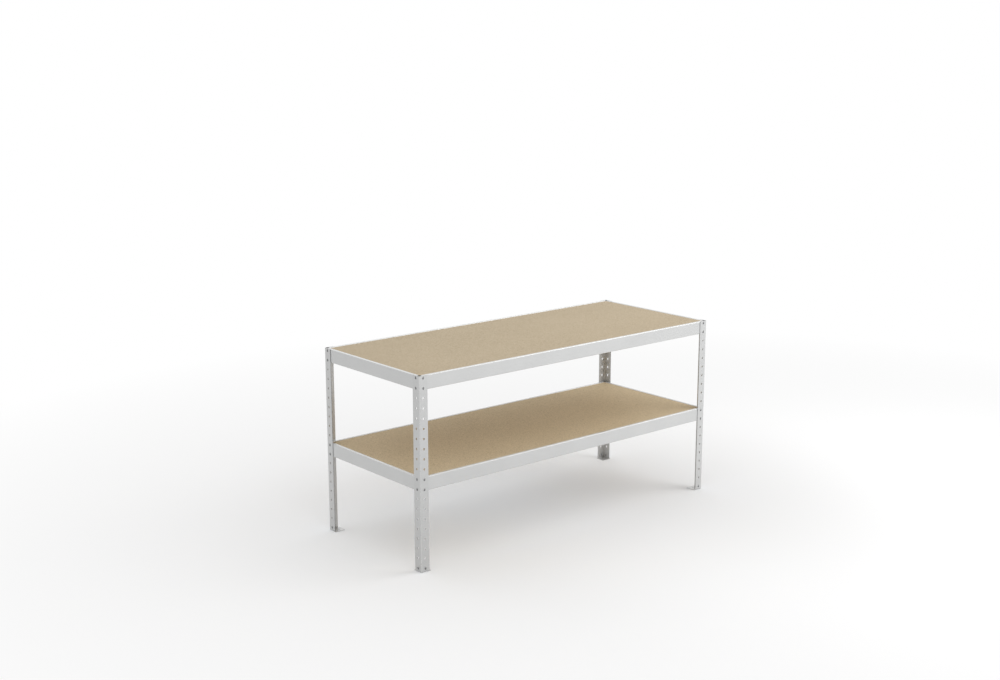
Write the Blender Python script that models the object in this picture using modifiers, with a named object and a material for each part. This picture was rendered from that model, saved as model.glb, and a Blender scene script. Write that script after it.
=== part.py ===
"""A packing table: keyhole angle posts, folded beams riveted to them, and two loose boards.

Units are metres and +Z is up. The origin is on the floor under the middle of the table, the
length runs along X, and the front long side faces -Y.

Two rectangles of folded beams hang between four angle posts, with no bolt in the joints: each
beam end carries flat-headed rivets, which slip through the keyholes of the post and drop into
the narrow seats below. Each beam is one folded sheet with a lip on top, a step down and a
ledge. The chipboard boards lie loose on the ledges, almost level with the lips.
"""

import math

import bmesh
import bpy
from mathutils import Matrix, Vector

# Overall size, measured over the outer faces of the posts
TABLE_LENGTH = 2.000
TABLE_WIDTH = 0.800
TABLE_HEIGHT = 0.980

# Angle posts
POST_FLANGE = 0.050
POST_SHEET = 0.002
POST_BEND_RADIUS = 0.004
POST_BEND_SIDES = 3

# Keyholes, one row down the middle of each post flange
KEYHOLE_ROW_HEIGHT = 0.050
KEYHOLE_ENTRY_RADIUS = 0.00475
KEYHOLE_SEAT_RADIUS = 0.0030
KEYHOLE_RISE = 0.0050
TOP_SEAT_DROP = 0.0135
LOWEST_SEAT_LIMIT = 0.0165
KEYHOLE_ENTRY_SIDES = 5
KEYHOLE_SEAT_SIDES = 3

# Rows of keyholes, counted from the top, that take the top rivets of the two levels
UPPER_LEVEL_ROW = 0
LOWER_LEVEL_ROW = 10

# Folded beams
BEAM_HEIGHT = 0.070
BEAM_SHEET = 0.0015
BEAM_BEND_RADIUS = 0.0030
BEAM_BEND_SIDES = 2
LIP_WIDTH = 0.016
LEDGE_WIDTH = 0.016
RETURN_WIDTH = 0.013

# Rivets that hold the beams and the foot plates in the keyholes
RIVET_HEAD_HEIGHT = 0.0016
RIVET_CLINCH_RADIUS = 0.0036
RIVET_CLINCH_HEIGHT = 0.0012
RIVET_EDGE_DISTANCE = 0.0055
RIVET_SIDES = 8

# Chipboard boards
BOARD_THICKNESS = 0.018
BOARD_DROP = 0.0015
BOARD_MARGIN = 0.0017
BOARD_EDGE_RADIUS = 0.0006

# Cross bar under the middle of each board
BAR_WIDTH = 0.040
BAR_SHEET = 0.0015
BAR_BEND_RADIUS = 0.0030
BAR_BEND_SIDES = 2
BAR_LIP = 0.010

# Foot plates
FOOT_SIZE = 0.058
FOOT_SHEET = 0.0025
FOOT_CORNER_RADIUS = 0.0040
FOOT_CORNER_SIDES = 3
EAR_WIDTH = 0.022
EAR_TOP_MARGIN = 0.011
EAR_BEND_RADIUS = 0.0040
EAR_BEND_SIDES = 3
EAR_RELIEF = 0.0015
EAR_OVERLAP = 0.0020
ANCHOR_HOLE_RADIUS = 0.0045
ANCHOR_HOLE_INSET = 0.034
ANCHOR_HOLE_SIDES = 12

# Clearances
FIT_GAP = 0.0003
HEAD_ENTRY_GAP = 0.00025
END_CLEARANCE = 0.0010
CUT_OVERRUN = 0.0020
WELD_DISTANCE = 0.00001

# Plain factors
QUARTER_TURN = math.pi / 2
ROW_COUNT_SHARE = 0.01
SHARP_SHARE = 0.6

# Places and counts worked out from the sizes above
FLANGE_LINE = POST_FLANGE / 2
POST_FOOT = FOOT_SHEET + FIT_GAP
POST_LENGTH = TABLE_HEIGHT - POST_FOOT
SEAT_SPAN = TABLE_HEIGHT - TOP_SEAT_DROP - LOWEST_SEAT_LIMIT
KEYHOLE_ROWS = math.floor(SEAT_SPAN / KEYHOLE_ROW_HEIGHT + ROW_COUNT_SHARE) + 1
LOWEST_SEAT = TABLE_HEIGHT - TOP_SEAT_DROP - (KEYHOLE_ROWS - 1) * KEYHOLE_ROW_HEIGHT
RIVET_SPAN = BEAM_HEIGHT - TOP_SEAT_DROP - RIVET_EDGE_DISTANCE
RIVET_ROWS = math.floor(RIVET_SPAN / KEYHOLE_ROW_HEIGHT + ROW_COUNT_SHARE) + 1
RIVET_SHANK_RADIUS = KEYHOLE_SEAT_RADIUS - FIT_GAP
RIVET_HEAD_RADIUS = KEYHOLE_ENTRY_RADIUS - HEAD_ENTRY_GAP
INNER_FACE = POST_SHEET + FIT_GAP
WEB_END = max(POST_BEND_RADIUS, INNER_FACE + BEAM_SHEET) + END_CLEARANCE
FOLD_END = INNER_FACE + LIP_WIDTH + END_CLEARANCE
LEDGE_END = FOLD_END + LEDGE_WIDTH
LEDGE_HEIGHT = BEAM_HEIGHT - BOARD_DROP - BOARD_THICKNESS - FIT_GAP
BOARD_INSET = INNER_FACE + LIP_WIDTH + BOARD_MARGIN
BAR_END = INNER_FACE + BEAM_BEND_RADIUS
BAR_BASE = BEAM_SHEET + FIT_GAP
BAR_HEIGHT = LEDGE_HEIGHT - BAR_BASE
BAR_NOTCH_END = INNER_FACE + LIP_WIDTH + LEDGE_WIDTH + END_CLEARANCE
BAR_NOTCH_DEPTH = BAR_BEND_RADIUS + END_CLEARANCE
EAR_ROOT = INNER_FACE + EAR_BEND_RADIUS
EAR_TOP = LOWEST_SEAT + EAR_TOP_MARGIN

# Colour, roughness and metallic of each material
POST_STEEL = ((0.60, 0.61, 0.61, 1.0), 0.42, 0.85)
BEAM_STEEL = ((0.63, 0.64, 0.64, 1.0), 0.40, 0.85)
PLATE_STEEL = ((0.50, 0.51, 0.51, 1.0), 0.45, 0.90)
RIVET_STEEL = ((0.55, 0.56, 0.57, 1.0), 0.35, 1.0)
CHIPBOARD = ((0.53, 0.44, 0.31, 1.0), 0.75, 0.0)

# Each corner of the table: its signs along X and Y, and its quarter turns from the front left
CORNERS = {
    "front_left": (-1, -1, 0),
    "front_right": (1, -1, 1),
    "back_right": (1, 1, 2),
    "back_left": (-1, 1, 3),
}

# Each side of the table: its outward signs along X and Y, and its quarter turns from the front
SIDES = {
    "front": (0, -1, 0),
    "right": (1, 0, 1),
    "back": (0, 1, 2),
    "left": (-1, 0, 3),
}
LONG_SIDES = ("front", "back")


def clear_objects():
    """Remove every object that the open file holds."""
    for item in list(bpy.data.objects):
        bpy.data.objects.remove(item, do_unlink=True)


def make_collection(name):
    """Return a new collection under the scene."""
    collection = bpy.data.collections.new(name)
    bpy.context.scene.collection.children.link(collection)
    return collection


def make_material(name, finish):
    """Return a Principled BSDF material from a colour, a roughness and a metallic value."""
    colour, roughness, metallic = finish
    material = bpy.data.materials.new(name)
    material.use_nodes = True
    shader = material.node_tree.nodes["Principled BSDF"]
    shader.inputs["Base Color"].default_value = colour
    shader.inputs["Roughness"].default_value = roughness
    shader.inputs["Metallic"].default_value = metallic
    material.diffuse_color = colour
    return material


def link_object(name, data):
    """Return a new object of a mesh or a curve, linked to the scene."""
    item = bpy.data.objects.new(name, data)
    bpy.context.scene.collection.objects.link(item)
    return item


def arc_points(centre, radius, start, end, sides):
    """Return points on an arc, from one angle to another."""
    points = []
    for index in range(sides + 1):
        angle = start + (end - start) * index / sides
        point = (centre[0] + radius * math.cos(angle), centre[1] + radius * math.sin(angle))
        points.append(point)
    return points


def ring_points(radius, sides):
    """Return a polygon whose sides touch a circle about the origin from outside."""
    outer = radius / math.cos(math.pi / sides)
    return arc_points((0, 0), outer, 0, math.tau, sides)[:-1]


def folded_outline(corners, thickness, outer_radius, sides):
    """Return the closed outline of a sheet folded at right angles along a line of corners.

    The line is the left face of the sheet, seen along it, and the thickness lies to its right.
    """
    inner_radius = outer_radius - thickness
    points = [Vector(corner) for corner in corners]
    headings = [(after - before).normalized() for before, after in zip(points, points[1:])]
    left = [points[0]]
    right = [points[0] + right_of(headings[0]) * thickness]
    for here, before, after in zip(points[1:-1], headings, headings[1:]):
        turns_right = right_of(before).dot(after) > 0
        left_radius = outer_radius if turns_right else inner_radius
        right_radius = inner_radius if turns_right else outer_radius
        hub = here + (after - before) * left_radius
        for step in range(sides + 1):
            angle = QUARTER_TURN * step / sides
            spoke = before * math.sin(angle) - after * math.cos(angle)
            left.append(hub + spoke * left_radius)
            right.append(hub + spoke * right_radius)
    left.append(points[-1])
    right.append(points[-1] + right_of(headings[-1]) * thickness)
    return left + list(reversed(right))


def right_of(heading):
    """Return the direction a quarter turn to the right of a heading in the plane."""
    return Vector((heading.y, -heading.x))


def solid_copy(source, name):
    """Return a mesh object with the finished shape of another object, its seams welded."""
    bpy.context.view_layer.update()
    graph = bpy.context.evaluated_depsgraph_get()
    mesh = bpy.data.meshes.new_from_object(source.evaluated_get(graph))
    mesh.name = name
    work = bmesh.new()
    work.from_mesh(mesh)
    bmesh.ops.remove_doubles(work, verts=work.verts, dist=WELD_DISTANCE)
    bmesh.ops.recalc_face_normals(work, faces=work.faces)
    work.to_mesh(mesh)
    work.free()
    copy = link_object(name, mesh)
    copy.matrix_world = source.matrix_world
    return copy


def drawn_solid(name, loops, length):
    """Return a solid drawn out along Z, half to each side, from closed loops in the XY plane.

    The first loop is the outer edge, and any others are holes.
    """
    curve = bpy.data.curves.new(name, "CURVE")
    curve.dimensions = "2D"
    curve.fill_mode = "BOTH"
    curve.extrude = length / 2
    for loop in loops:
        spline = curve.splines.new("POLY")
        spline.points.add(len(loop) - 1)
        for point, place in zip(spline.points, loop):
            point.co = (place[0], place[1], 0, 1)
        spline.use_cyclic_u = True
    holder = link_object(name, curve)
    solid = solid_copy(holder, name)
    bpy.data.objects.remove(holder, do_unlink=True)
    return solid


def turned_solid(name, profile, sides):
    """Return a solid turned about Z from a profile that runs down its outer side."""
    mesh = bpy.data.meshes.new(name)
    points = [(radius, 0, height) for radius, height in profile]
    edges = [(index, index + 1) for index in range(len(points) - 1)]
    mesh.from_pydata(points, edges, [])
    holder = link_object(name, mesh)
    screw = holder.modifiers.new("turn", "SCREW")
    screw.axis = "Z"
    screw.steps = sides
    screw.render_steps = sides
    screw.use_merge_vertices = True
    screw.merge_threshold = WELD_DISTANCE
    solid = solid_copy(holder, name)
    bpy.data.objects.remove(holder, do_unlink=True)
    return solid


def box_mesh(name, low, high):
    """Return the mesh of a box between two corners."""
    low = Vector(low)
    high = Vector(high)
    size = high - low
    middle = (high + low) / 2
    scale = Matrix.Diagonal(size.to_4d())
    work = bmesh.new()
    bmesh.ops.create_cube(work, size=1.0)
    bmesh.ops.transform(work, matrix=Matrix.Translation(middle) @ scale, verts=work.verts)
    mesh = bpy.data.meshes.new(name)
    work.to_mesh(mesh)
    work.free()
    return mesh


def joined_copies(name, mesh, places):
    """Return one object that holds a separate copy of a mesh at each place."""
    work = bmesh.new()
    for place in places:
        moved = mesh.copy()
        moved.transform(place)
        work.from_mesh(moved)
        bpy.data.meshes.remove(moved)
    joined = bpy.data.meshes.new(name)
    work.to_mesh(joined)
    work.free()
    return link_object(name, joined)


def boolean_result(body, tools, operation):
    """Return a body cut by its tools, or joined to them. The body and tools are used up."""
    for tool in tools:
        step = body.modifiers.new(tool.name, "BOOLEAN")
        step.operation = operation
        step.solver = "EXACT"
        step.object = tool
    result = solid_copy(body, body.name)
    for item in [body, *tools]:
        bpy.data.objects.remove(item, do_unlink=True)
    return result


def place_in_mesh(item, matrix):
    """Move the mesh of an object by a matrix, and leave its origin where it is."""
    item.data.transform(matrix)
    return item


def seat_height(row):
    """Return the height of the seats of a row of keyholes, counted from the top."""
    return TABLE_HEIGHT - TOP_SEAT_DROP - row * KEYHOLE_ROW_HEIGHT


def level_top(row):
    """Return the height of the lips of the level whose top rivets sit in a row."""
    return seat_height(row) + TOP_SEAT_DROP


def facing_front():
    """Return the turn that lays +Y upright and points +Z out of the front."""
    return Matrix.Rotation(QUARTER_TURN, 4, "X")


def facing_left():
    """Return the turn that lays +Y upright and points +Z out of the left end."""
    return Matrix.Rotation(-QUARTER_TURN, 4, "Z") @ facing_front()


def flange_places(heights):
    """Return places on both flanges of the front left post, at its outer faces.

    Each place points +Z out of the flange and +Y up, on the row of keyholes.
    """
    places = []
    for height in heights:
        front = Matrix.Translation((FLANGE_LINE, 0, height)) @ facing_front()
        left = Matrix.Translation((0, FLANGE_LINE, height)) @ facing_left()
        places.extend([front, left])
    return places


def keyhole_outline():
    """Return the outline of a keyhole: a wide entry above a narrow seat at the origin."""
    lean = math.asin((KEYHOLE_ENTRY_RADIUS - KEYHOLE_SEAT_RADIUS) / KEYHOLE_RISE)
    entry_half_step = (QUARTER_TURN + lean) / KEYHOLE_ENTRY_SIDES
    seat_half_step = (QUARTER_TURN - lean) / KEYHOLE_SEAT_SIDES
    entry_radius = KEYHOLE_ENTRY_RADIUS / math.cos(entry_half_step)
    seat_radius = KEYHOLE_SEAT_RADIUS / math.cos(seat_half_step)
    left_angle = math.pi + lean
    right_angle = math.tau - lean
    entry = arc_points((0, KEYHOLE_RISE), entry_radius, -lean, left_angle, KEYHOLE_ENTRY_SIDES)
    seat = arc_points((0, 0), seat_radius, left_angle, right_angle, KEYHOLE_SEAT_SIDES)
    return entry + seat


def post_mesh():
    """Return the mesh of the front left post, its outer corner on the Z axis."""
    path = [(POST_FLANGE, 0), (0, 0), (0, POST_FLANGE)]
    outline = folded_outline(path, POST_SHEET, POST_BEND_RADIUS, POST_BEND_SIDES)
    post = drawn_solid("post", [outline], POST_LENGTH)
    place_in_mesh(post, Matrix.Translation((0, 0, POST_FOOT + POST_LENGTH / 2)))
    depth = POST_SHEET / 2 + POST_SHEET
    punch = drawn_solid("keyhole_punch", [keyhole_outline()], depth + depth)
    heights = [seat_height(row) for row in range(KEYHOLE_ROWS)]
    punches = joined_copies("keyhole_punches", punch.data, flange_places(heights))
    bpy.data.objects.remove(punch, do_unlink=True)
    post = boolean_result(post, [punches], "DIFFERENCE")
    return taken_mesh(post)


def taken_mesh(item):
    """Return the mesh of an object, and remove the object."""
    mesh = item.data
    bpy.data.objects.remove(item, do_unlink=True)
    return mesh


def beam_rivet_drops():
    """Return how far the rivets of a beam sit below its top."""
    return [TOP_SEAT_DROP + row * KEYHOLE_ROW_HEIGHT for row in range(RIVET_ROWS)]


def beam_section():
    """Return the section of a beam, from its outer face inwards and from its bottom up."""
    path = [
        (RETURN_WIDTH, 0),
        (0, 0),
        (0, BEAM_HEIGHT),
        (LIP_WIDTH, BEAM_HEIGHT),
        (LIP_WIDTH, LEDGE_HEIGHT),
        (LIP_WIDTH + LEDGE_WIDTH, LEDGE_HEIGHT),
    ]
    return folded_outline(path, BEAM_SHEET, BEAM_BEND_RADIUS, BEAM_BEND_SIDES)


def along_x():
    """Return the turn from a section drawn in XY to one that is drawn out along X."""
    return Matrix.Rotation(QUARTER_TURN, 4, "Z") @ facing_front()


def fold_cutter(name, span):
    """Return the cutter that leaves only the web at the front beam's left end."""
    tab_low = BEAM_BEND_RADIUS + END_CLEARANCE
    tab_high = BEAM_HEIGHT - BEAM_BEND_RADIUS - END_CLEARANCE
    tab_face = BEAM_SHEET + FIT_GAP
    inner = LIP_WIDTH + LEDGE_WIDTH + CUT_OVERRUN
    top = BEAM_HEIGHT + CUT_OVERRUN
    outline = [
        (-CUT_OVERRUN, -CUT_OVERRUN),
        (inner, -CUT_OVERRUN),
        (inner, top),
        (-CUT_OVERRUN, top),
        (-CUT_OVERRUN, tab_high),
        (tab_face, tab_high),
        (tab_face, tab_low),
        (-CUT_OVERRUN, tab_low),
    ]
    length = FOLD_END - WEB_END + CUT_OVERRUN
    cutter = drawn_solid(name, [outline], length)
    middle = FOLD_END - length / 2 - span / 2
    return place_in_mesh(cutter, Matrix.Translation((middle, 0, 0)) @ along_x())


def ledge_cutter(name, span):
    """Return the cutter that shortens the ledge at the front beam's left end."""
    start = WEB_END - CUT_OVERRUN - span / 2
    end = LEDGE_END - span / 2
    low = (start, LIP_WIDTH - BEAM_SHEET - CUT_OVERRUN, LEDGE_HEIGHT - BEAM_SHEET - CUT_OVERRUN)
    high = (end, LIP_WIDTH + LEDGE_WIDTH + CUT_OVERRUN, LEDGE_HEIGHT + BEAM_BEND_RADIUS)
    return link_object(name, box_mesh(name, low, high))


def rivet_hole_cutter(name, span):
    """Return the cutter of the rivet holes at the front beam's left end."""
    depth = BEAM_SHEET / 2 + BEAM_SHEET
    drill = drawn_solid("drill", [ring_points(KEYHOLE_SEAT_RADIUS, RIVET_SIDES)], depth + depth)
    places = []
    for drop in beam_rivet_drops():
        spot = (FLANGE_LINE - span / 2, BEAM_SHEET / 2, BEAM_HEIGHT - drop)
        places.append(Matrix.Translation(spot) @ facing_front())
    cutter = joined_copies(name, drill.data, places)
    bpy.data.objects.remove(drill, do_unlink=True)
    return cutter


def beam_mesh(span, has_short_ledge):
    """Return the mesh of the front beam of a table side, its outer bottom edge on the X axis.

    The span is the table's size over the posts, and the beam ends inside the posts.
    """
    beam = drawn_solid("beam", [beam_section()], span - WEB_END - WEB_END)
    place_in_mesh(beam, along_x())
    makers = [fold_cutter, rivet_hole_cutter]
    if has_short_ledge:
        makers.append(ledge_cutter)
    cutters = []
    for maker in makers:
        left = maker("left_cut", span)
        right = link_object("right_cut", left.data.copy())
        place_in_mesh(right, Matrix.Scale(-1, 4, (1, 0, 0)))
        right.data.flip_normals()
        cutters.extend([left, right])
    return taken_mesh(boolean_result(beam, cutters, "DIFFERENCE"))


def rivet_mesh(grip):
    """Return the mesh of one rivet, its axis on Z and the outer face it holds at the origin.

    The grip is the depth from that face to the back of the sheets that it holds together.
    """
    head_top = FIT_GAP + RIVET_HEAD_HEIGHT
    clinch_top = -grip - FIT_GAP
    profile = [
        (0, head_top),
        (RIVET_HEAD_RADIUS, head_top),
        (RIVET_HEAD_RADIUS, FIT_GAP),
        (RIVET_SHANK_RADIUS, FIT_GAP),
        (RIVET_SHANK_RADIUS, clinch_top),
        (RIVET_CLINCH_RADIUS, clinch_top),
        (RIVET_CLINCH_RADIUS, clinch_top - RIVET_CLINCH_HEIGHT),
        (0, clinch_top - RIVET_CLINCH_HEIGHT),
    ]
    mesh = taken_mesh(turned_solid("rivet", profile, RIVET_SIDES))
    smooth_round_faces(mesh)
    return mesh


def beam_rivet_places(span):
    """Return the places of a beam's rivets, counted from its outer bottom edge.

    Each place points +Z out of the table, on the outer faces of the posts.
    """
    places = []
    for end in (-1, 1):
        for drop in beam_rivet_drops():
            x = end * (span / 2 - FLANGE_LINE)
            spot = (x, -INNER_FACE, BEAM_HEIGHT - drop)
            places.append(Matrix.Translation(spot) @ facing_front())
    return places


def plate_outline():
    """Return the outline of the front left foot plate, notched where its ears turn up."""
    near = FLANGE_LINE - EAR_WIDTH / 2 - EAR_RELIEF
    far = FLANGE_LINE + EAR_WIDTH / 2 + EAR_RELIEF
    radius = FOOT_CORNER_RADIUS
    rounds = []
    for turn, centre in enumerate([
        (radius, radius),
        (FOOT_SIZE - radius, radius),
        (FOOT_SIZE - radius, FOOT_SIZE - radius),
        (radius, FOOT_SIZE - radius),
    ]):
        start = math.pi + turn * QUARTER_TURN
        rounds.append(arc_points(centre, radius, start, start + QUARTER_TURN, FOOT_CORNER_SIDES))
    front_notch = [(near, 0), (near, EAR_ROOT), (far, EAR_ROOT), (far, 0)]
    left_notch = [(0, far), (EAR_ROOT, far), (EAR_ROOT, near), (0, near)]
    return rounds[0] + front_notch + rounds[1] + rounds[2] + rounds[3] + left_notch


def ear_solid():
    """Return the ear that turns up inside the front flange of the front left post."""
    path = [(EAR_ROOT + EAR_OVERLAP, 0), (INNER_FACE, 0), (INNER_FACE, EAR_TOP)]
    outline = folded_outline(path, FOOT_SHEET, EAR_BEND_RADIUS, EAR_BEND_SIDES)
    ear = drawn_solid("ear", [outline], EAR_WIDTH)
    place_in_mesh(ear, Matrix.Translation((FLANGE_LINE, 0, 0)) @ along_x())
    depth = FOOT_SHEET / 2 + FOOT_SHEET
    drill = drawn_solid("drill", [ring_points(KEYHOLE_SEAT_RADIUS, RIVET_SIDES)], depth + depth)
    spot = (FLANGE_LINE, INNER_FACE + FOOT_SHEET / 2, LOWEST_SEAT)
    place_in_mesh(drill, Matrix.Translation(spot) @ facing_front())
    return boolean_result(ear, [drill], "DIFFERENCE")


def foot_plate_mesh():
    """Return the mesh of the front left foot plate, its outer corner at the origin."""
    hole = [(x + ANCHOR_HOLE_INSET, y + ANCHOR_HOLE_INSET) for x, y in anchor_ring()]
    plate = drawn_solid("foot_plate", [plate_outline(), hole], FOOT_SHEET)
    place_in_mesh(plate, Matrix.Translation((0, 0, FOOT_SHEET / 2)))
    front_ear = ear_solid()
    left_ear = link_object("left_ear", front_ear.data.copy())
    place_in_mesh(left_ear, diagonal_mirror())
    left_ear.data.flip_normals()
    return taken_mesh(boolean_result(plate, [front_ear, left_ear], "UNION"))


def anchor_ring():
    """Return the outline of the anchor hole about the origin."""
    return ring_points(ANCHOR_HOLE_RADIUS, ANCHOR_HOLE_SIDES)


def diagonal_mirror():
    """Return the mirror that swaps X and Y."""
    return Matrix(((0, 1, 0, 0), (1, 0, 0, 0), (0, 0, 1, 0), (0, 0, 0, 1)))


def cross_bar_mesh():
    """Return the mesh of a cross bar along Y, its underside at height zero."""
    half_width = BAR_WIDTH / 2
    path = [
        (BAR_LIP - half_width, 0),
        (-half_width, 0),
        (-half_width, BAR_HEIGHT),
        (half_width, BAR_HEIGHT),
        (half_width, 0),
        (half_width - BAR_LIP, 0),
    ]
    outline = folded_outline(path, BAR_SHEET, BAR_BEND_RADIUS, BAR_BEND_SIDES)
    bar = drawn_solid("cross_bar", [outline], TABLE_WIDTH - BAR_END - BAR_END)
    place_in_mesh(bar, facing_front())
    side = half_width + CUT_OVERRUN
    outer = TABLE_WIDTH / 2 - BAR_END + CUT_OVERRUN
    inner = TABLE_WIDTH / 2 - BAR_NOTCH_END
    base = BAR_HEIGHT - BAR_NOTCH_DEPTH
    top = BAR_HEIGHT + CUT_OVERRUN
    front = box_mesh("front_cut", (-side, -outer, base), (side, -inner, top))
    back = box_mesh("back_cut", (-side, inner, base), (side, outer, top))
    cutters = [link_object(mesh.name, mesh) for mesh in (front, back)]
    return taken_mesh(boolean_result(bar, cutters, "DIFFERENCE"))


def board_mesh():
    """Return the mesh of a board, its underside at height zero."""
    x = TABLE_LENGTH / 2 - BOARD_INSET
    y = TABLE_WIDTH / 2 - BOARD_INSET
    return box_mesh("board", (-x, -y, 0), (x, y, BOARD_THICKNESS))


def add_part(name, mesh, material, collection, place, parent=None):
    """Add a named part: a mesh with its material, in the collection and at its place.

    With a parent, the place is counted from it.
    """
    if not mesh.materials:
        mesh.materials.append(material)
    item = bpy.data.objects.new(name, mesh)
    collection.objects.link(item)
    item.parent = parent
    item.matrix_local = place
    return item


def corner_place(corner):
    """Return the place of a corner: its outer corner on the floor, turned to face it."""
    x_sign, y_sign, turns = CORNERS[corner]
    spot = (x_sign * TABLE_LENGTH / 2, y_sign * TABLE_WIDTH / 2, 0)
    return Matrix.Translation(spot) @ Matrix.Rotation(turns * QUARTER_TURN, 4, "Z")


def side_place(side, base):
    """Return the place of a beam on one side, its underside at a height."""
    x_sign, y_sign, turns = SIDES[side]
    out_x = TABLE_LENGTH / 2 - INNER_FACE
    out_y = TABLE_WIDTH / 2 - INNER_FACE
    spot = (x_sign * out_x, y_sign * out_y, base)
    return Matrix.Translation(spot) @ Matrix.Rotation(turns * QUARTER_TURN, 4, "Z")


def smooth_round_faces(mesh):
    """Shade the round faces of a mesh smooth, and keep its sharp edges."""
    mesh.shade_smooth()
    mesh.set_sharp_from_angle(angle=QUARTER_TURN * SHARP_SHARE)


def add_posts(collection):
    """Add the four angle posts."""
    material = make_material("post_steel", POST_STEEL)
    mesh = post_mesh()
    for corner in CORNERS:
        add_part("post_" + corner, mesh, material, collection, corner_place(corner))


def add_beams(collection, levels):
    """Add the four beams of each level, and the rivets in their ends."""
    beam_steel = make_material("beam_steel", BEAM_STEEL)
    rivet_steel = make_material("beam_rivet_steel", RIVET_STEEL)
    rivet = rivet_mesh(INNER_FACE + BEAM_SHEET)
    meshes = {
        TABLE_LENGTH: beam_mesh(TABLE_LENGTH, False),
        TABLE_WIDTH: beam_mesh(TABLE_WIDTH, True),
    }
    for level, row in levels.items():
        base = level_top(row) - BEAM_HEIGHT
        for side in SIDES:
            span = TABLE_LENGTH if side in LONG_SIDES else TABLE_WIDTH
            name = level + "_beam_" + side
            beam = add_part(name, meshes[span], beam_steel, collection, side_place(side, base))
            for number, place in enumerate(beam_rivet_places(span), start=1):
                label = name + "_rivet_" + str(number)
                add_part(label, rivet, rivet_steel, collection, place, beam)


def add_foot_plates(collection):
    """Add a foot plate under each post, and the rivets in its ears."""
    plate_steel = make_material("plate_steel", PLATE_STEEL)
    rivet_steel = make_material("foot_rivet_steel", RIVET_STEEL)
    mesh = foot_plate_mesh()
    rivet = rivet_mesh(INNER_FACE + FOOT_SHEET)
    for corner in CORNERS:
        name = "foot_plate_" + corner
        plate = add_part(name, mesh, plate_steel, collection, corner_place(corner))
        for number, place in enumerate(flange_places([LOWEST_SEAT]), start=1):
            label = name + "_rivet_" + str(number)
            add_part(label, rivet, rivet_steel, collection, place, plate)


def add_boards(collection, levels):
    """Add the board of each level, on the ledges of its beams."""
    material = make_material("chipboard", CHIPBOARD)
    mesh = board_mesh()
    for level, row in levels.items():
        base = level_top(row) - BOARD_DROP - BOARD_THICKNESS
        place = Matrix.Translation((0, 0, base))
        board = add_part(level + "_board", mesh, material, collection, place)
        bevel = board.modifiers.new("edges", "BEVEL")
        bevel.width = BOARD_EDGE_RADIUS
        bevel.segments = 1


def add_cross_bars(collection, levels):
    """Add the bar under the middle of each board, on the bottom folds of the long beams."""
    material = make_material("bar_steel", BEAM_STEEL)
    mesh = cross_bar_mesh()
    for level, row in levels.items():
        base = level_top(row) - BEAM_HEIGHT + BAR_BASE
        place = Matrix.Translation((0, 0, base))
        add_part(level + "_cross_bar", mesh, material, collection, place)


def main():
    """Build the table."""
    clear_objects()
    table = make_collection("packing_table")
    levels = {"upper": UPPER_LEVEL_ROW, "lower": LOWER_LEVEL_ROW}
    add_posts(table)
    add_foot_plates(table)
    add_beams(table, levels)
    add_cross_bars(table, levels)
    add_boards(table, levels)


main()
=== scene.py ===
"""Looks of a packing table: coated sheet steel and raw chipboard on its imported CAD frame.

Units are metres and +Z is up. The origin is on the floor under the middle of the table, the
length runs along X, and the front long side faces -Y. Each folded piece is a flat grid of two
parameters, u across the folds and v along them, with its holes and cut-outs in the grid, which
is then laid on the inner and outer face of the folded sheet.
"""

import logging
import math
from collections.abc import Callable, Sequence
from dataclasses import dataclass, field, replace
from enum import Enum
from functools import reduce

import bpy
import numpy as np
from mathutils import Matrix, Vector

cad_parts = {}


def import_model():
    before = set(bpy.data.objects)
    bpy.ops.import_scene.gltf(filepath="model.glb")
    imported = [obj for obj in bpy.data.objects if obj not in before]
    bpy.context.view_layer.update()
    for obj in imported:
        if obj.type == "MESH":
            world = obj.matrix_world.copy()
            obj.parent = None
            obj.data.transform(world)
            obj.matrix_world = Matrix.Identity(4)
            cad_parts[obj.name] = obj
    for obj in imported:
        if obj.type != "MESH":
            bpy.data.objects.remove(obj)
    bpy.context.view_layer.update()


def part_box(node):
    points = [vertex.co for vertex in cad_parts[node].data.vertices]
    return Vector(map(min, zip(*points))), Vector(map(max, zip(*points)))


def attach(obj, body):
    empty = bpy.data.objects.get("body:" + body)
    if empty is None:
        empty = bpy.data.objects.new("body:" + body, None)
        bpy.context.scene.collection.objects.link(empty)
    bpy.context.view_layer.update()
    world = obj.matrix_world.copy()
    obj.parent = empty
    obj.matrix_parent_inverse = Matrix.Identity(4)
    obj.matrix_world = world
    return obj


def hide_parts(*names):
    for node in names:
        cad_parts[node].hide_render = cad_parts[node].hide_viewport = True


LOG = logging.getLogger("packing_table")

Socket = bpy.types.NodeSocket
Colour = tuple[float, float, float]
Input = float | Sequence[float] | Socket
Span = tuple[float, float]
Surface = Callable[[np.ndarray, np.ndarray], tuple[np.ndarray, np.ndarray]]
FoldHighlight = Callable[[np.ndarray], np.ndarray]

QUARTER_TURN = math.pi / 2
TOLERANCE = 1e-7
ANGLE_TOLERANCE = 1e-6
SAME_PLACE = 1e-5
DECIMALS = 7
WHITE = (1.0, 1.0, 1.0, 1.0)
# Point attribute of the coat: worn along the cut edges, and a painted highlight along the folds.
RIM = "rim"


class Named(Enum):
    """A choice whose name is part of the names of pieces."""

    @property
    def label(self) -> str:
        """The choice's name in the names of pieces."""
        return self.name.lower()


class Turned(Named):
    """A place around the table: its outward signs along X and Y, and its quarter turns."""

    @property
    def turns(self) -> int:
        """The quarter turns about Z that take the first place of its kind to this one."""
        return self.value[2]


class Corner(Turned):
    """A corner of the table."""

    FRONT_LEFT = (-1, -1, 0)
    FRONT_RIGHT = (1, -1, 1)
    BACK_RIGHT = (1, 1, 2)
    BACK_LEFT = (-1, 1, 3)

    @property
    def spot(self) -> tuple[float, float, float]:
        """The outer corner of the post there, on the floor."""
        return (self.value[0] * SIZES.length / 2, self.value[1] * SIZES.width / 2, 0.0)


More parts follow.
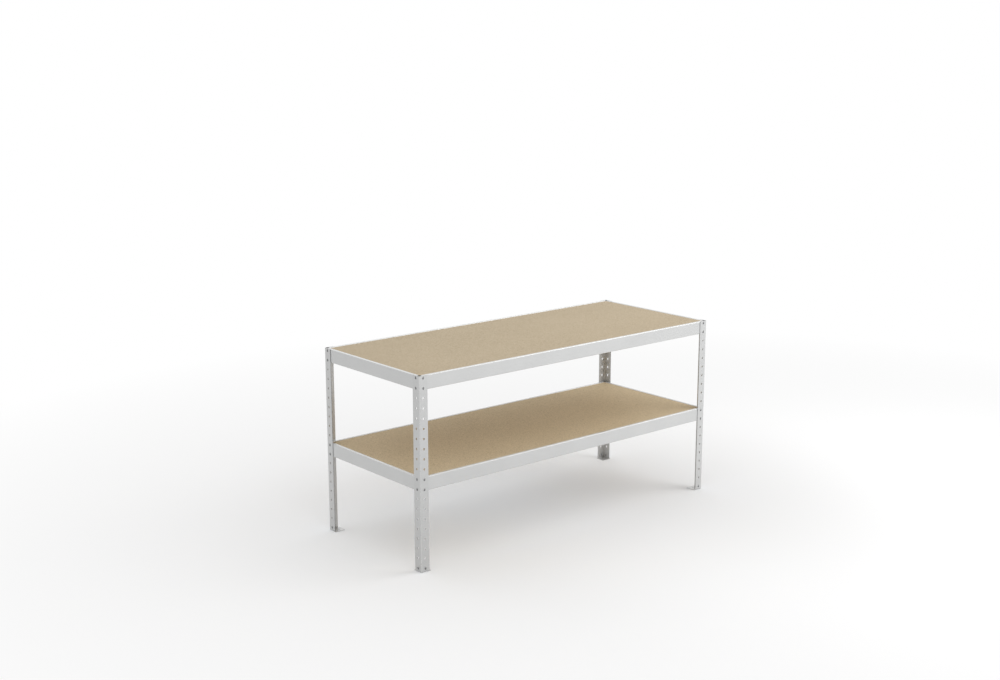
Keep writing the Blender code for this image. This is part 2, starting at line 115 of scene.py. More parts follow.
class Side(Turned):
    """A side of the table."""

    FRONT = (0, -1, 0)
    RIGHT = (1, 0, 1)
    BACK = (0, 1, 2)
    LEFT = (-1, 0, 3)

    @property
    def is_long(self) -> bool:
        """Whether the side runs along the length of the table."""
        return self.value[0] == 0


class Level(Named):
    """A level of the table: the row of keyholes, from the top, that its top rivets sit in."""

    UPPER = 0
    LOWER = 10


@dataclass(frozen=True)
class TableSizes:
    """Sizes that more than one piece depends on."""

    length: float = 2.000
    width: float = 0.800
    height: float = 0.980
    fit_gap: float = 0.0003
    end_clearance: float = 0.0010
    post_flange: float = 0.050
    post_sheet: float = 0.002
    row_height: float = 0.050
    row_count: int = 20
    top_seat_drop: float = 0.0135
    seat_radius: float = 0.0030
    entry_radius: float = 0.00475
    beam_height: float = 0.070
    beam_sheet: float = 0.0015
    beam_bend: float = 0.0030
    lip_width: float = 0.016
    ledge_width: float = 0.016
    board_thickness: float = 0.018
    board_drop: float = 0.0015
    foot_sheet: float = 0.0025

    @property
    def flange_line(self) -> float:
        """How far the row of keyholes is from the outer corner of a post."""
        return self.post_flange / 2

    @property
    def inner_face(self) -> float:
        """How far what lies inside a post is from the post's outer face."""
        return self.post_sheet + self.fit_gap

    @property
    def post_foot(self) -> float:
        """The height of the bottom edge of the posts."""
        return self.foot_sheet + self.fit_gap

    @property
    def fold_end(self) -> float:
        """How far the folds of a beam stop from the outer face of the crossing side."""
        return self.inner_face + self.lip_width + self.end_clearance

    @property
    def ledge_height(self) -> float:
        """The height of a beam's ledge over the bottom of the beam."""
        return self.beam_height - self.board_drop - self.board_thickness - self.fit_gap

    def seats(self) -> np.ndarray:
        """Return the heights of the narrow seats of the keyholes, from the top down."""
        top = self.height - self.top_seat_drop
        return top - self.row_height * np.arange(self.row_count)

    def level_top(self, level: Level) -> float:
        """Return the height of the lips of a level."""
        return self.height - self.row_height * level.value

    def level_base(self, level: Level) -> float:
        """Return the height of the bottom of a level's beams."""
        return self.level_top(level) - self.beam_height

    def rivet_drops(self) -> tuple[float, float]:
        """Return how far the rivets of a beam sit below its lip."""
        return self.top_seat_drop, self.top_seat_drop + self.row_height


SIZES = TableSizes()


# Surfaces


def merged_lines(*groups: Sequence[float]) -> np.ndarray:
    """Return the sorted grid lines of several groups, each place once.

    Args:
        groups: Places along one direction of a sheet.

    Returns:
        The places in rising order, rounded to a tenth of a micrometre.
    """
    places = np.concatenate([np.asarray(group) for group in groups])
    return np.unique(np.round(places, DECIMALS))


def arc(centre: Sequence[float], radius: float, start: float, end: float, steps: int) -> np.ndarray:
    """Return points centre + radius * (cos a, sin a) with the angle a from start to end.

    Args:
        centre: The middle of the arc.
        radius: Its radius.
        start: The first angle.
        end: The last angle.
        steps: The number of steps between them.

    Returns:
        An array of steps + 1 points.
    """
    angle = np.linspace(start, end, steps + 1)
    return np.asarray(centre) + radius * np.stack([np.cos(angle), np.sin(angle)], axis=1)


def quarter_turned(points: np.ndarray, turns: int) -> np.ndarray:
    """Return points turned about Z by a whole number of quarter turns.

    Args:
        points: The points, one row each.
        turns: The number of quarter turns, each from X to Y.

    Returns:
        The turned points.
    """
    x, y, z = points.T
    for _ in range(turns):
        x, y = -y, x
    return np.stack([x, y, z], axis=1)


def ring_bands(rings: int, around: int) -> np.ndarray:
    """Return the quads between rings of points that are stored one ring after another.

    Args:
        rings: The number of rings.
        around: The number of points of each.

    Returns:
        The quads, each from a place on one ring to the next place on the next ring.
    """
    here = np.arange(around)
    after = np.roll(here, -1)
    starts = around * np.arange(rings - 1)[:, None]
    following = starts + around
    corners = [starts + here, following + here, following + after, starts + after]
    return np.stack(corners, axis=2).reshape(-1, 4)


@dataclass(frozen=True)
class FoldedSheet:
    """The section of a sheet folded at right angles along a line of corners.

    The line is the face on its left. The thickness lies to its right.
    """

    corners: tuple[tuple[float, float], ...]
    thickness: float
    outer_radius: float
    bend_steps: int = 6

    def _path(self) -> tuple[np.ndarray, np.ndarray, np.ndarray]:
        """Return what the line of corners is made of.

        Returns:
            The corners, the headings between them, and the distance at each corner.
        """
        corners = np.asarray(self.corners)
        steps = np.diff(corners, axis=0)
        lengths = np.linalg.norm(steps, axis=1)
        marks = np.concatenate([[0.0], np.cumsum(lengths)])
        return corners, steps / lengths[:, None], marks

    def _radii(self, before: np.ndarray, after: np.ndarray) -> tuple[float, float]:
        """Return the radii of a bend.

        Args:
            before: The heading before it.
            after: The heading after it.

        Returns:
            The radius on the left face, and on the right face.
        """
        turns_right = before[1] * after[0] - before[0] * after[1] > 0
        inner = self.outer_radius - self.thickness
        return (self.outer_radius, inner) if turns_right else (inner, self.outer_radius)

    def bend_lines(self) -> np.ndarray:
        """Return the grid lines over the bends, and at the two free edges.

        Returns:
            Their distances along the line of corners.
        """
        _, headings, marks = self._path()
        lines = [marks[[0, -1]]]
        for mark, before, after in zip(marks[1:-1], headings, headings[1:]):
            radius = self._radii(before, after)[0]
            lines.append(np.linspace(mark - radius, mark + radius, self.bend_steps + 1))
        return merged_lines(*lines)

    # Painted highlight: the coat is made paler over the bends, where light would catch them.
    def wear_at(self, along: np.ndarray) -> np.ndarray:
        """Return the painted highlight of the folds: 1 in the middle of a bend, falling to 0 off it.

        Args:
            along: Distances from the first corner.

        Returns:
            The painted highlight at each distance.
        """
        marks = self._path()[2][1:-1]
        nearest = np.abs(along[:, None] - marks).min(axis=1)
        return np.clip(1.0 - nearest / self.outer_radius, 0.0, 1.0)

    def faces_at(self, along: np.ndarray) -> tuple[np.ndarray, np.ndarray]:
        """Return the points of both faces at distances along the line of corners.

        On a flat the left point is corner + distance * heading, and the right point is one
        thickness to its right. On a bend both lie on arcs about one hub: hub + radius *
        (before * sin a - after * cos a), and the angle a grows evenly from 0 to a quarter turn.

        Args:
            along: Distances from the first corner.

        Returns:
            The points of the left face and of the right face, one row per distance.
        """
        corners, headings, marks = self._path()
        leg = np.clip(np.searchsorted(marks, along, side="right") - 1, 0, len(headings) - 1)
        heading = headings[leg]
        left = corners[leg] + heading * (along - marks[leg])[:, None]
        right = left + self.thickness * np.stack([heading[:, 1], -heading[:, 0]], axis=1)
        for corner, before, after, mark in zip(corners[1:], headings, headings[1:], marks[1:]):
            near, far = self._radii(before, after)
            inside = np.abs(along - mark) < near
            angle = QUARTER_TURN * (along[inside] - mark + near) / (2 * near)
            spoke = np.outer(np.sin(angle), before) - np.outer(np.cos(angle), after)
            hub = corner + (after - before) * near
            left[inside] = hub + spoke * near
            right[inside] = hub + spoke * far
        return left, right

    def carried(self, order: Sequence[int]) -> Surface:
        """Return the surface that the section makes when it is carried along v.

        Args:
            order: Which of the section's two axes, 0 and 1, or the way v, 2, gives X, Y and Z.

        Returns:
            A function of u and v that gives the points of both faces.
        """

        def surface(u: np.ndarray, v: np.ndarray) -> tuple[np.ndarray, np.ndarray]:
            """Return both faces: the section at u, at the place v."""
            left, right = (np.column_stack([face, v]) for face in self.faces_at(u))
            return left[:, order], right[:, order]

        return surface


@dataclass(frozen=True)
class Hole:
    """A convex hole through a sheet: its outline, and the block of the grid around it."""

    outline: np.ndarray
    u_span: Span
    v_span: Span

    @classmethod
    def round(cls, u: float, v: float, radius: float, margin: float, steps: int) -> "Hole":
        """Return a round hole.

        Args:
            u: Its middle across the folds.
            v: Its middle along the folds.
            radius: Its radius.
            margin: How far the block reaches past the hole.
            steps: The number of sides of its outline.

        Returns:
            The hole.
        """
        reach = radius + margin
        outline = arc((u, v), radius, 0.0, math.tau, steps)[:-1]
        return cls(outline, (u - reach, u + reach), (v - reach, v + reach))


@dataclass
class Shell:
    """A closed surface: its points, its faces, and which faces are cut edges of the sheet."""

    points: np.ndarray
    quads: np.ndarray
    triangles: np.ndarray
    quad_cuts: np.ndarray
    # Per point: how worn the coat is along cut edges, and the painted highlight of the folds.
    rim: np.ndarray

    def volume(self) -> float:
        """Return the enclosed volume.

        Returns:
            A sixth of the sum of a . (b x c) over the triangles a, b, c.
        """
        halves = [self.quads[:, [0, 1, 2]], self.quads[:, [0, 2, 3]], self.triangles]
        a, b, c = (self.points[np.concatenate(halves)[:, k]] for k in range(3))
        return float(np.einsum("ij,ij->", a, np.cross(b, c)) / 6)

    def outward(self) -> "Shell":
        """Return the shell with its faces turned outwards.

        Returns:
            The shell as it is, or with every face turned over if its volume is negative.
        """
        if self.volume() >= 0:
            return self
        return replace(self, quads=self.quads[:, ::-1], triangles=self.triangles[:, ::-1])

    def placed(self, turns: int, spot: Sequence[float]) -> "Shell":
        """Return the shell turned about Z by quarter turns, then moved to a spot."""
        return replace(self, points=quarter_turned(self.points, turns) + np.asarray(spot))


def joined(shells: Sequence[Shell]) -> Shell:
    """Return one shell that holds several separate ones.

    Args:
        shells: The shells.

    Returns:
        The one shell, with theirs one after another.
    """
    starts = np.cumsum([0] + [len(shell.points) for shell in shells[:-1]])
    return Shell(
        np.concatenate([shell.points for shell in shells]),
        np.concatenate([shell.quads + start for shell, start in zip(shells, starts)]),
        np.concatenate([shell.triangles + start for shell, start in zip(shells, starts)]),
        np.concatenate([shell.quad_cuts for shell in shells]),
        np.concatenate([shell.rim for shell in shells]),
    )


@dataclass
class SheetPattern:
    """The flat grid of a sheet: its lines, its cut-outs and its holes."""

    u_lines: np.ndarray
    v_lines: np.ndarray
    holes: list[Hole] = field(default_factory=list)
    solid: np.ndarray = field(init=False)

    def __post_init__(self) -> None:
        """Add the lines around the holes, and start with no cut-outs."""
        self.u_lines = merged_lines(self.u_lines, *[hole.u_span for hole in self.holes])
        self.v_lines = merged_lines(self.v_lines, *[hole.v_span for hole in self.holes])
        self.solid = np.ones((len(self.u_lines) - 1, len(self.v_lines) - 1), bool)

    def cut(self, u_span: Sequence[float], v_span: Sequence[float]) -> None:
        """Cut away the cells whose middles lie in both spans.

        Args:
            u_span: The span across the folds.
            v_span: The span along the folds.
        """
        u_middle = (self.u_lines[1:] + self.u_lines[:-1]) / 2
        v_middle = (self.v_lines[1:] + self.v_lines[:-1]) / 2
        u_in = (u_middle > min(u_span)) & (u_middle < max(u_span))
        v_in = (v_middle > min(v_span)) & (v_middle < max(v_span))
        self.solid &= ~np.outer(u_in, v_in)

    def _block(self, hole: Hole) -> tuple[int, int, int, int]:
        """Return where the block of a hole lies in the grid.

        Args:
            hole: The hole.

        Returns:
            Its first and last grid line in u, and its first and last in v.
        """
        u = np.searchsorted(self.u_lines, np.asarray(hole.u_span) - TOLERANCE)
        v = np.searchsorted(self.v_lines, np.asarray(hole.v_span) - TOLERANCE)
        return int(u[0]), int(u[1]), int(v[0]), int(v[1])

    def _around(self, hole: Hole, first: int) -> np.ndarray:
        """Return the triangles between the edge of a hole's block and the hole's outline.

        Each side of either loop is joined to the point of the other loop that lies furthest
        out in the direction that the side faces, so no two triangles overlap.

        Args:
            hole: The hole.
            first: The index of the first point of its outline.

        Returns:
            The triangles, counter-clockwise in the grid.
        """
        u0, u1, v0, v1 = self._block(hole)
        across = len(self.v_lines)
        left = u0 * across + np.arange(v1, v0, -1)
        bottom = np.arange(u0, u1) * across + v0
        right = u1 * across + np.arange(v0, v1)
        top = np.arange(u1, u0, -1) * across + v1
        outer = np.concatenate([left, bottom, right, top])
        counts = [len(left), len(bottom), len(right), len(top)]
        facing_outer = np.repeat(QUARTER_TURN * np.arange(-2, 2), counts)
        step = np.roll(hole.outline, -1, axis=0) - hole.outline
        facing = np.arctan2(-step[:, 0], step[:, 1])
        facing[facing > math.pi - ANGLE_TOLERANCE] -= math.tau
        start = int(np.argmin(facing))
        inner = np.roll(first + np.arange(len(facing)), -start)
        facing = np.roll(facing, -start)
        nearest_inner = np.searchsorted(facing, facing_outer - ANGLE_TOLERANCE)
        nearest_outer = np.searchsorted(facing_outer, facing + ANGLE_TOLERANCE)
        to_inner = inner[nearest_inner % len(inner)]
        to_outer = outer[nearest_outer % len(outer)]
        out_fan = np.stack([outer, np.roll(outer, -1), to_inner], axis=1)
        in_fan = np.stack([np.roll(inner, -1), inner, to_outer], axis=1)
        return np.concatenate([out_fan, in_fan])

    def _flat_faces(self) -> tuple[np.ndarray, np.ndarray, np.ndarray]:
        """Return the flat sheet, before it is folded.

        Returns:
            The points in the grid, and the quads and triangles between them.
        """
        u, v = np.meshgrid(self.u_lines, self.v_lines, indexing="ij")
        grid = np.stack([u.ravel(), v.ravel()], axis=1)
        filled = self.solid.copy()
        for hole in self.holes:
            u0, u1, v0, v1 = self._block(hole)
            filled[u0:u1, v0:v1] = False
        i, j = np.nonzero(filled)
        low = i * len(self.v_lines) + j
        high = low + len(self.v_lines)
        quads = np.stack([low, high, high + 1, low + 1], axis=1)
        outlines = [hole.outline for hole in self.holes]
        firsts = len(grid) + np.cumsum([0] + [len(outline) for outline in outlines])
        fans = [self._around(hole, int(first)) for hole, first in zip(self.holes, firsts)]
        triangles = np.concatenate([np.empty((0, 3), int), *fans])
        return np.concatenate([grid, *outlines]), quads, triangles

    def shell(self, surface: Surface, wear: FoldHighlight) -> Shell:
        """Return the closed shell of the sheet.

        The grid is laid on both faces of the sheet, and a wall joins the two along each edge
        that only one face of the grid has.

        Args:
            surface: Gives the points of both faces of the sheet at places u and v.
            wear: Gives the painted highlight of the folds at places u.

        Returns:
            The shell, with its faces turned outwards.
        """
        places, quads, triangles = self._flat_faces()
        count = len(places)
        edges = [quads[:, [k, (k + 1) % 4]] for k in range(4)]
        edges += [triangles[:, [k, (k + 1) % 3]] for k in range(3)]
        edge = np.concatenate(edges)
        key = edge.min(axis=1) * count + edge.max(axis=1)
        _, index, times = np.unique(key, return_inverse=True, return_counts=True)
        border = edge[times[index.reshape(-1)] == 1]
        a, b = border.T
        walls = np.stack([a, b, b + count, a + count], axis=1)
        near, far = surface(places[:, 0], places[:, 1])
        points = np.concatenate([near, far])
        # Painted highlight along the folds, and 1 along the cut edges, where the coat is worn.
        rim = np.tile(wear(places[:, 0]), 2)
        rim[walls] = 1.0
        all_quads = np.concatenate([quads[:, ::-1], quads + count, walls])
        all_triangles = np.concatenate([triangles[:, ::-1], triangles + count])
        cuts = np.repeat([False, True], [2 * len(quads), len(walls)])
        used, again = np.unique(
            np.concatenate([all_quads.ravel(), all_triangles.ravel()]), return_inverse=True
        )
        again = again.reshape(-1)
        split = all_quads.size
        return Shell(
            points[used],
            again[:split].reshape(-1, 4),
            again[split:].reshape(-1, 3),
            cuts,
            rim[used],
        ).outward()


def turned_shell(profile: np.ndarray, steps: int) -> Shell:
    """Return the shell of a profile turned about Z.

    The point at profile place k and angle a is (r cos a, r sin a, z), with r and z from the
    profile. The profile starts and ends on the axis, where the ring is one point.

    Args:
        profile: Radius and height, from the axis at the top to the axis at the bottom.
        steps: The number of steps around.

    Returns:
        The shell, with its faces turned outwards.
    """
    angle = math.tau * np.arange(steps) / steps
    radius, height = profile[1:-1].T
    x = np.outer(radius, np.cos(angle))
    y = np.outer(radius, np.sin(angle))
    z = np.repeat(height[:, None], steps, axis=1)
    rings = np.stack([x, y, z], axis=2).reshape(-1, 3)
    poles = np.array([[0, 0, profile[0, 1]], [0, 0, profile[-1, 1]]])
    here = np.arange(steps)
    after = np.roll(here, -1)
    quads = ring_bands(len(radius), steps)
    top, bottom = len(rings), len(rings) + 1
    last = len(rings) - steps
    cap = np.stack([np.full(steps, top), here, after], axis=1)
    base = np.stack([np.full(steps, bottom), last + after, last + here], axis=1)
    points = np.concatenate([rings, poles])
    none = np.zeros(len(quads), bool)
    shell = Shell(points, quads, np.concatenate([cap, base]), none, np.zeros(len(points)))
    return shell.outward()


# Finishes


def rgba(colour: Input) -> Input:
    """Return a colour with its alpha, or a socket as it is."""
    return colour if isinstance(colour, Socket) else (*colour, 1.0)


def scaled(colour: Colour, share: float) -> Colour:
    """Return a colour made paler or darker by a share."""
    return (colour[0] * share, colour[1] * share, colour[2] * share)


class NodeSheet:
    """A node tree under construction: short calls that add its nodes and join them."""

    def __init__(self, tree: bpy.types.NodeTree) -> None:
        """Take a tree with the nodes that it already has."""
        self.tree = tree

    def add(self, kind: str, inputs: dict[str | int, Input], **settings: str) -> bpy.types.Node:
        """Add a node.

        Args:
            kind: Its type.
            inputs: A value or another node's socket for each input, by name or number.
            settings: Its own settings.

        Returns:
            The node.
        """
        node = self.tree.nodes.new(kind)
        for name, value in settings.items():
            setattr(node, name, value)
        for name, value in inputs.items():
            self.join(value, node.inputs[name])
        return node

    def join(self, value: Input, socket: Socket) -> None:
        """Set a socket to a value, or link another socket to it.

        Args:
            value: A plain value, or another node's socket.
            socket: The input that takes it.
        """
        if isinstance(value, Socket):
            self.tree.links.new(value, socket)
        else:
            socket.default_value = value

    def span(
        self, value: Socket, low: float, high: float, to_low: Input, to_high: Input, **settings: str
    ) -> Socket:
        """Return a value mapped from one span to another, held at the ends."""
        inputs = {0: value, 1: low, 2: high, 3: to_low, 4: to_high}
        return self.add("ShaderNodeMapRange", inputs, **settings).outputs[0]

    def combine(self, a: Input, b: Input, operation: str = "ADD") -> Socket:
        """Return two values combined by one operation, or their sum."""
        return self.add("ShaderNodeMath", {0: a, 1: b}, operation=operation).outputs[0]

    def weighted(self, parts: Sequence[tuple[Socket, float]]) -> Socket:
        """Return the sum of several values, each times its share."""
        return reduce(self.combine, [self.combine(value, share, "MULTIPLY") for value, share in parts])


class MaterialSheet(NodeSheet):
    """A material under construction, around a Principled shader."""

    def __init__(self, name: str) -> None:
        """Start a material.

        Args:
            name: Its name.
        """
        self.material = bpy.data.materials.new(name)
        self.material.use_nodes = True
        super().__init__(self.material.node_tree)
        self.shader = self.tree.nodes["Principled BSDF"]
        self.place = self.add("ShaderNodeTexCoord", {}).outputs["Object"]

    def shade(self, name: str, value: Input) -> None:
        """Set or link one input of the shader."""
        self.join(value, self.shader.inputs[name])

    def stretched(self, scale: Sequence[float], turn: float = 0.0) -> Socket:
        """Return Object coordinates stretched along each axis, and turned about Z."""
        inputs = {"Vector": self.place, "Scale": tuple(scale), "Rotation": (0.0, 0.0, turn)}
        return self.add("ShaderNodeMapping", inputs).outputs["Vector"]

    def away(self, middle: Sequence[float], reach: Sequence[float] = (1.0, 1.0, 1.0)) -> Socket:
        """Return how far a place is from a middle.

        Args:
            middle: The middle, in Object coordinates.
            reach: The distance that counts as one, along each axis.

        Returns:
            The distance.
        """
        offset = {0: self.place, 1: tuple(middle)}
        shifted = self.add("ShaderNodeVectorMath", offset, operation="SUBTRACT").outputs[0]
        by_reach = {0: shifted, 1: tuple(reach)}
        shrunk = self.add("ShaderNodeVectorMath", by_reach, operation="DIVIDE").outputs[0]
        return self.add("ShaderNodeVectorMath", {0: shrunk}, operation="LENGTH").outputs["Value"]

    def noise(self, scale: float, detail: float = 2.0, vector: Socket | None = None) -> Socket:
        """Return fractal noise.

        Args:
            scale: Its cells per metre.
            detail: Its number of octaves.
            vector: Where it is read, or None for Object coordinates.

        Returns:
            The noise value, around a half.
        """
        inputs = {"Vector": vector or self.place, "Scale": scale, "Detail": detail}
        return self.add("ShaderNodeTexNoise", inputs).outputs["Fac"]

    def cells(self, scale: float, vector: Socket | None = None) -> bpy.types.Node:
        """Return a Voronoi node of irregular cells, so many per metre."""
        inputs = {"Vector": vector or self.place, "Scale": scale}
        return self.add("ShaderNodeTexVoronoi", inputs)

    def ramp(self, value: Socket, stops: Sequence[tuple[float, Colour]]) -> Socket:
        """Return the colour of a ramp.

        Args:
            value: The place on the ramp.
            stops: The place and colour of each stop, in rising order.

        Returns:
            The colour.
        """
        node = self.add("ShaderNodeValToRGB", {"Fac": value})
        elements = node.color_ramp.elements
        for _ in stops[2:]:
            elements.new(0.5)
        for element, (place, colour) in zip(elements, stops):
            element.position = place
            element.color = (*colour, 1.0)
        return node.outputs["Color"]

    def tones(self, value: Socket, span: Span, colour: Colour, shades: Span) -> Socket:
        """Return a colour that goes from one shade of itself to another over a span."""
        stops = [(place, scaled(colour, shade)) for place, shade in zip(span, shades)]
        return self.ramp(value, stops)

    def grey(self, colour: Socket) -> Socket:
        """Return the lightness of a colour."""
        return self.add("ShaderNodeRGBToBW", {"Color": colour}).outputs[0]

    def mix(self, share: Input, a: Input, b: Input, blend: str = "MIX") -> Socket:
        """Return two colours mixed.

        Args:
            share: The share of the second colour.
            a: The first colour.
            b: The second colour.
            blend: How they are blended.

        Returns:
            The mixed colour.
        """
        inputs = {0: share, 6: rgba(a), 7: rgba(b)}
        node = self.add("ShaderNodeMix", inputs, data_type="RGBA", blend_type=blend)
        return node.outputs[2]

    def bump(self, height: Socket, depth: float, strength: float = 1.0) -> None:
        """Join a height field to the shader's normal, at its real depth."""
        inputs = {"Height": height, "Distance": depth, "Strength": strength}
        self.shade("Normal", self.add("ShaderNodeBump", inputs).outputs["Normal"])


@dataclass(frozen=True)
class CoatedSteel:
    """Satin silver-grey coat with metal flake: faint clouds, fine peel, rims worn paler, and folds
    paler as a painted highlight.

    Here and in the other finishes a scale counts the cells of a noise in a metre, and a span
    says between which values of the noise its effect grows.
    """

    name: str
    colour: Colour
    roughness: float = 0.36
    cloud: float = 0.026
    # How much paler the coat is on worn rims, and on folds, where the paleness is a painted highlight.
    rub: float = 0.18
    gloss: float = 1.0
    flake: float = 0.50
    cloud_scale: float = 7.0
    grit_scale: float = 420.0
    grit_share: float = 0.35
    tone_span: Span = (0.30, 0.70)
    patch_scale: float = 55.0
    patch_span: Span = (0.38, 0.60)
    least_rubbed: float = 0.30
    satin_scale: float = 30.0
    satin_span: Span = (0.30, 0.70)
    satin_change: Span = (-0.05, 0.06)
    rubbed_change: float = -0.10
    coat_roughness: float = 0.12
    coat_ior: float = 1.6
    fine_peel_scale: float = 700.0
    broad_peel_scale: float = 160.0
    peel_depth: float = 0.00003
    peel_strength: float = 0.5

    def make(self) -> bpy.types.Material:
        """Build the material: clouds and grit in the coat, paler and smoother on worn rims and on
        folds, the folds' paleness a painted highlight.

        Returns:
            The material.
        """
        sheet = MaterialSheet(self.name)
        clouds = sheet.noise(self.cloud_scale, detail=3.0)
        grit = sheet.noise(self.grit_scale)
        tone = sheet.weighted([(clouds, 1 - self.grit_share), (grit, self.grit_share)])
        shades = (1 - self.cloud, 1 + self.cloud)
        base = sheet.tones(tone, self.tone_span, self.colour, shades)
        # Paler coat on worn rims, and on folds as a painted highlight.
        rim = sheet.add("ShaderNodeAttribute", {}, attribute_name=RIM).outputs["Fac"]
        patches = sheet.noise(self.patch_scale, detail=4.0)
        patchy = sheet.span(patches, *self.patch_span, self.least_rubbed, 1.0)
        worn_and_highlight_share = sheet.combine(rim, patchy, "MULTIPLY")
        sheet.shade("Base Color", sheet.mix(worn_and_highlight_share, base, scaled(self.colour, 1 + self.rub)))
        satin = sheet.noise(self.satin_scale, detail=4.0)
        rough = sheet.span(satin, *self.satin_span, *self.satin_change)
        rough = sheet.combine(rough, sheet.combine(worn_and_highlight_share, self.rubbed_change, "MULTIPLY"))
        sheet.shade("Roughness", sheet.combine(rough, self.roughness))
        sheet.shade("Metallic", self.flake)
        sheet.shade("Coat Weight", self.gloss)
        sheet.shade("Coat Roughness", self.coat_roughness)
        sheet.shade("Coat IOR", self.coat_ior)
        fine = sheet.noise(self.fine_peel_scale)
        broad = sheet.noise(self.broad_peel_scale, detail=1.0)
        sheet.bump(sheet.combine(fine, broad), self.peel_depth, self.peel_strength)
        return sheet.material


@dataclass(frozen=True)
class CutSteel:
    """The sheared and punched edges of the sheet: bare steel with fine marks of the tool; its dark
    tone is partly painted shade in the keyholes and gaps.
    """

    name: str
    colour: Colour
    roughness: float = 0.46
    roughness_change: float = 0.08
    mark_scale: float = 900.0
    patch_scale: float = 45.0
    tone_span: Span = (0.32, 0.68)
    shades: Span = (0.82, 1.14)
    patch_span: Span = (0.3, 0.7)
    mark_depth: float = 0.00006
    mark_strength: float = 0.7

    def make(self) -> bpy.types.Material:
        """Build the material: marks of the tool over paler and darker patches.

        Returns:
            The material.
        """
        sheet = MaterialSheet(self.name)
        marks = sheet.noise(self.mark_scale)
        patches = sheet.noise(self.patch_scale, detail=3.0)
        tone = sheet.weighted([(marks, 0.5), (patches, 0.5)])
        sheet.shade("Base Color", sheet.tones(tone, self.tone_span, self.colour, self.shades))
        sheet.shade("Metallic", 1.0)
        low, high = self.roughness - self.roughness_change, self.roughness + self.roughness_change
        sheet.shade("Roughness", sheet.span(patches, *self.patch_span, low, high))
        sheet.bump(marks, self.mark_depth, self.mark_strength)
        return sheet.material


@dataclass(frozen=True)
class ZincSteel:
    """Zinc-plated steel: bare dull metal with crystal patches and fine scratches."""

    name: str
    colour: Colour
    roughness: float = 0.42
    smoother: float = 0.10
    rougher: float = 0.12
    metal: float = 0.9
    crystal_scale: float = 260.0
    tone_span: Span = (0.15, 0.85)
    shades: Span = (0.84, 1.14)
    dull_scale: float = 140.0
    dull_span: Span = (0.45, 0.75)
    most_dull: float = 0.5
    dull_shade: float = 0.72
    scratch_scale: tuple[float, float, float] = (90.0, 2400.0, 2400.0)
    scratch_turn: float = 0.4
    wobble_scale: float = 220.0
    wobble_span: Span = (0.7, 1.3)
    wobble_depth: float = 0.00004
    wobble_strength: float = 0.6

    def make(self) -> bpy.types.Material:
        """Build the material: crystals with dull patches, and scratches drawn out one way.

        Returns:
            The material.
        """
        sheet = MaterialSheet(self.name)
        crystals = sheet.grey(sheet.cells(self.crystal_scale).outputs["Color"])
        base = sheet.tones(crystals, self.tone_span, self.colour, self.shades)
        patches = sheet.noise(self.dull_scale, detail=4.0)
        dull = sheet.span(patches, *self.dull_span, 0.0, self.most_dull)
        sheet.shade("Base Color", sheet.mix(dull, base, scaled(self.colour, self.dull_shade)))
        sheet.shade("Metallic", self.metal)
        drawn_out = sheet.stretched(self.scratch_scale, self.scratch_turn)
        scratches = sheet.noise(1.0, detail=3.0, vector=drawn_out)
        wobble = sheet.combine(sheet.noise(self.wobble_scale, detail=3.0), scratches)
        low, high = self.roughness - self.smoother, self.roughness + self.rougher
        sheet.shade("Roughness", sheet.span(wobble, *self.wobble_span, low, high))
        sheet.bump(wobble, self.wobble_depth, self.wobble_strength)
        return sheet.material


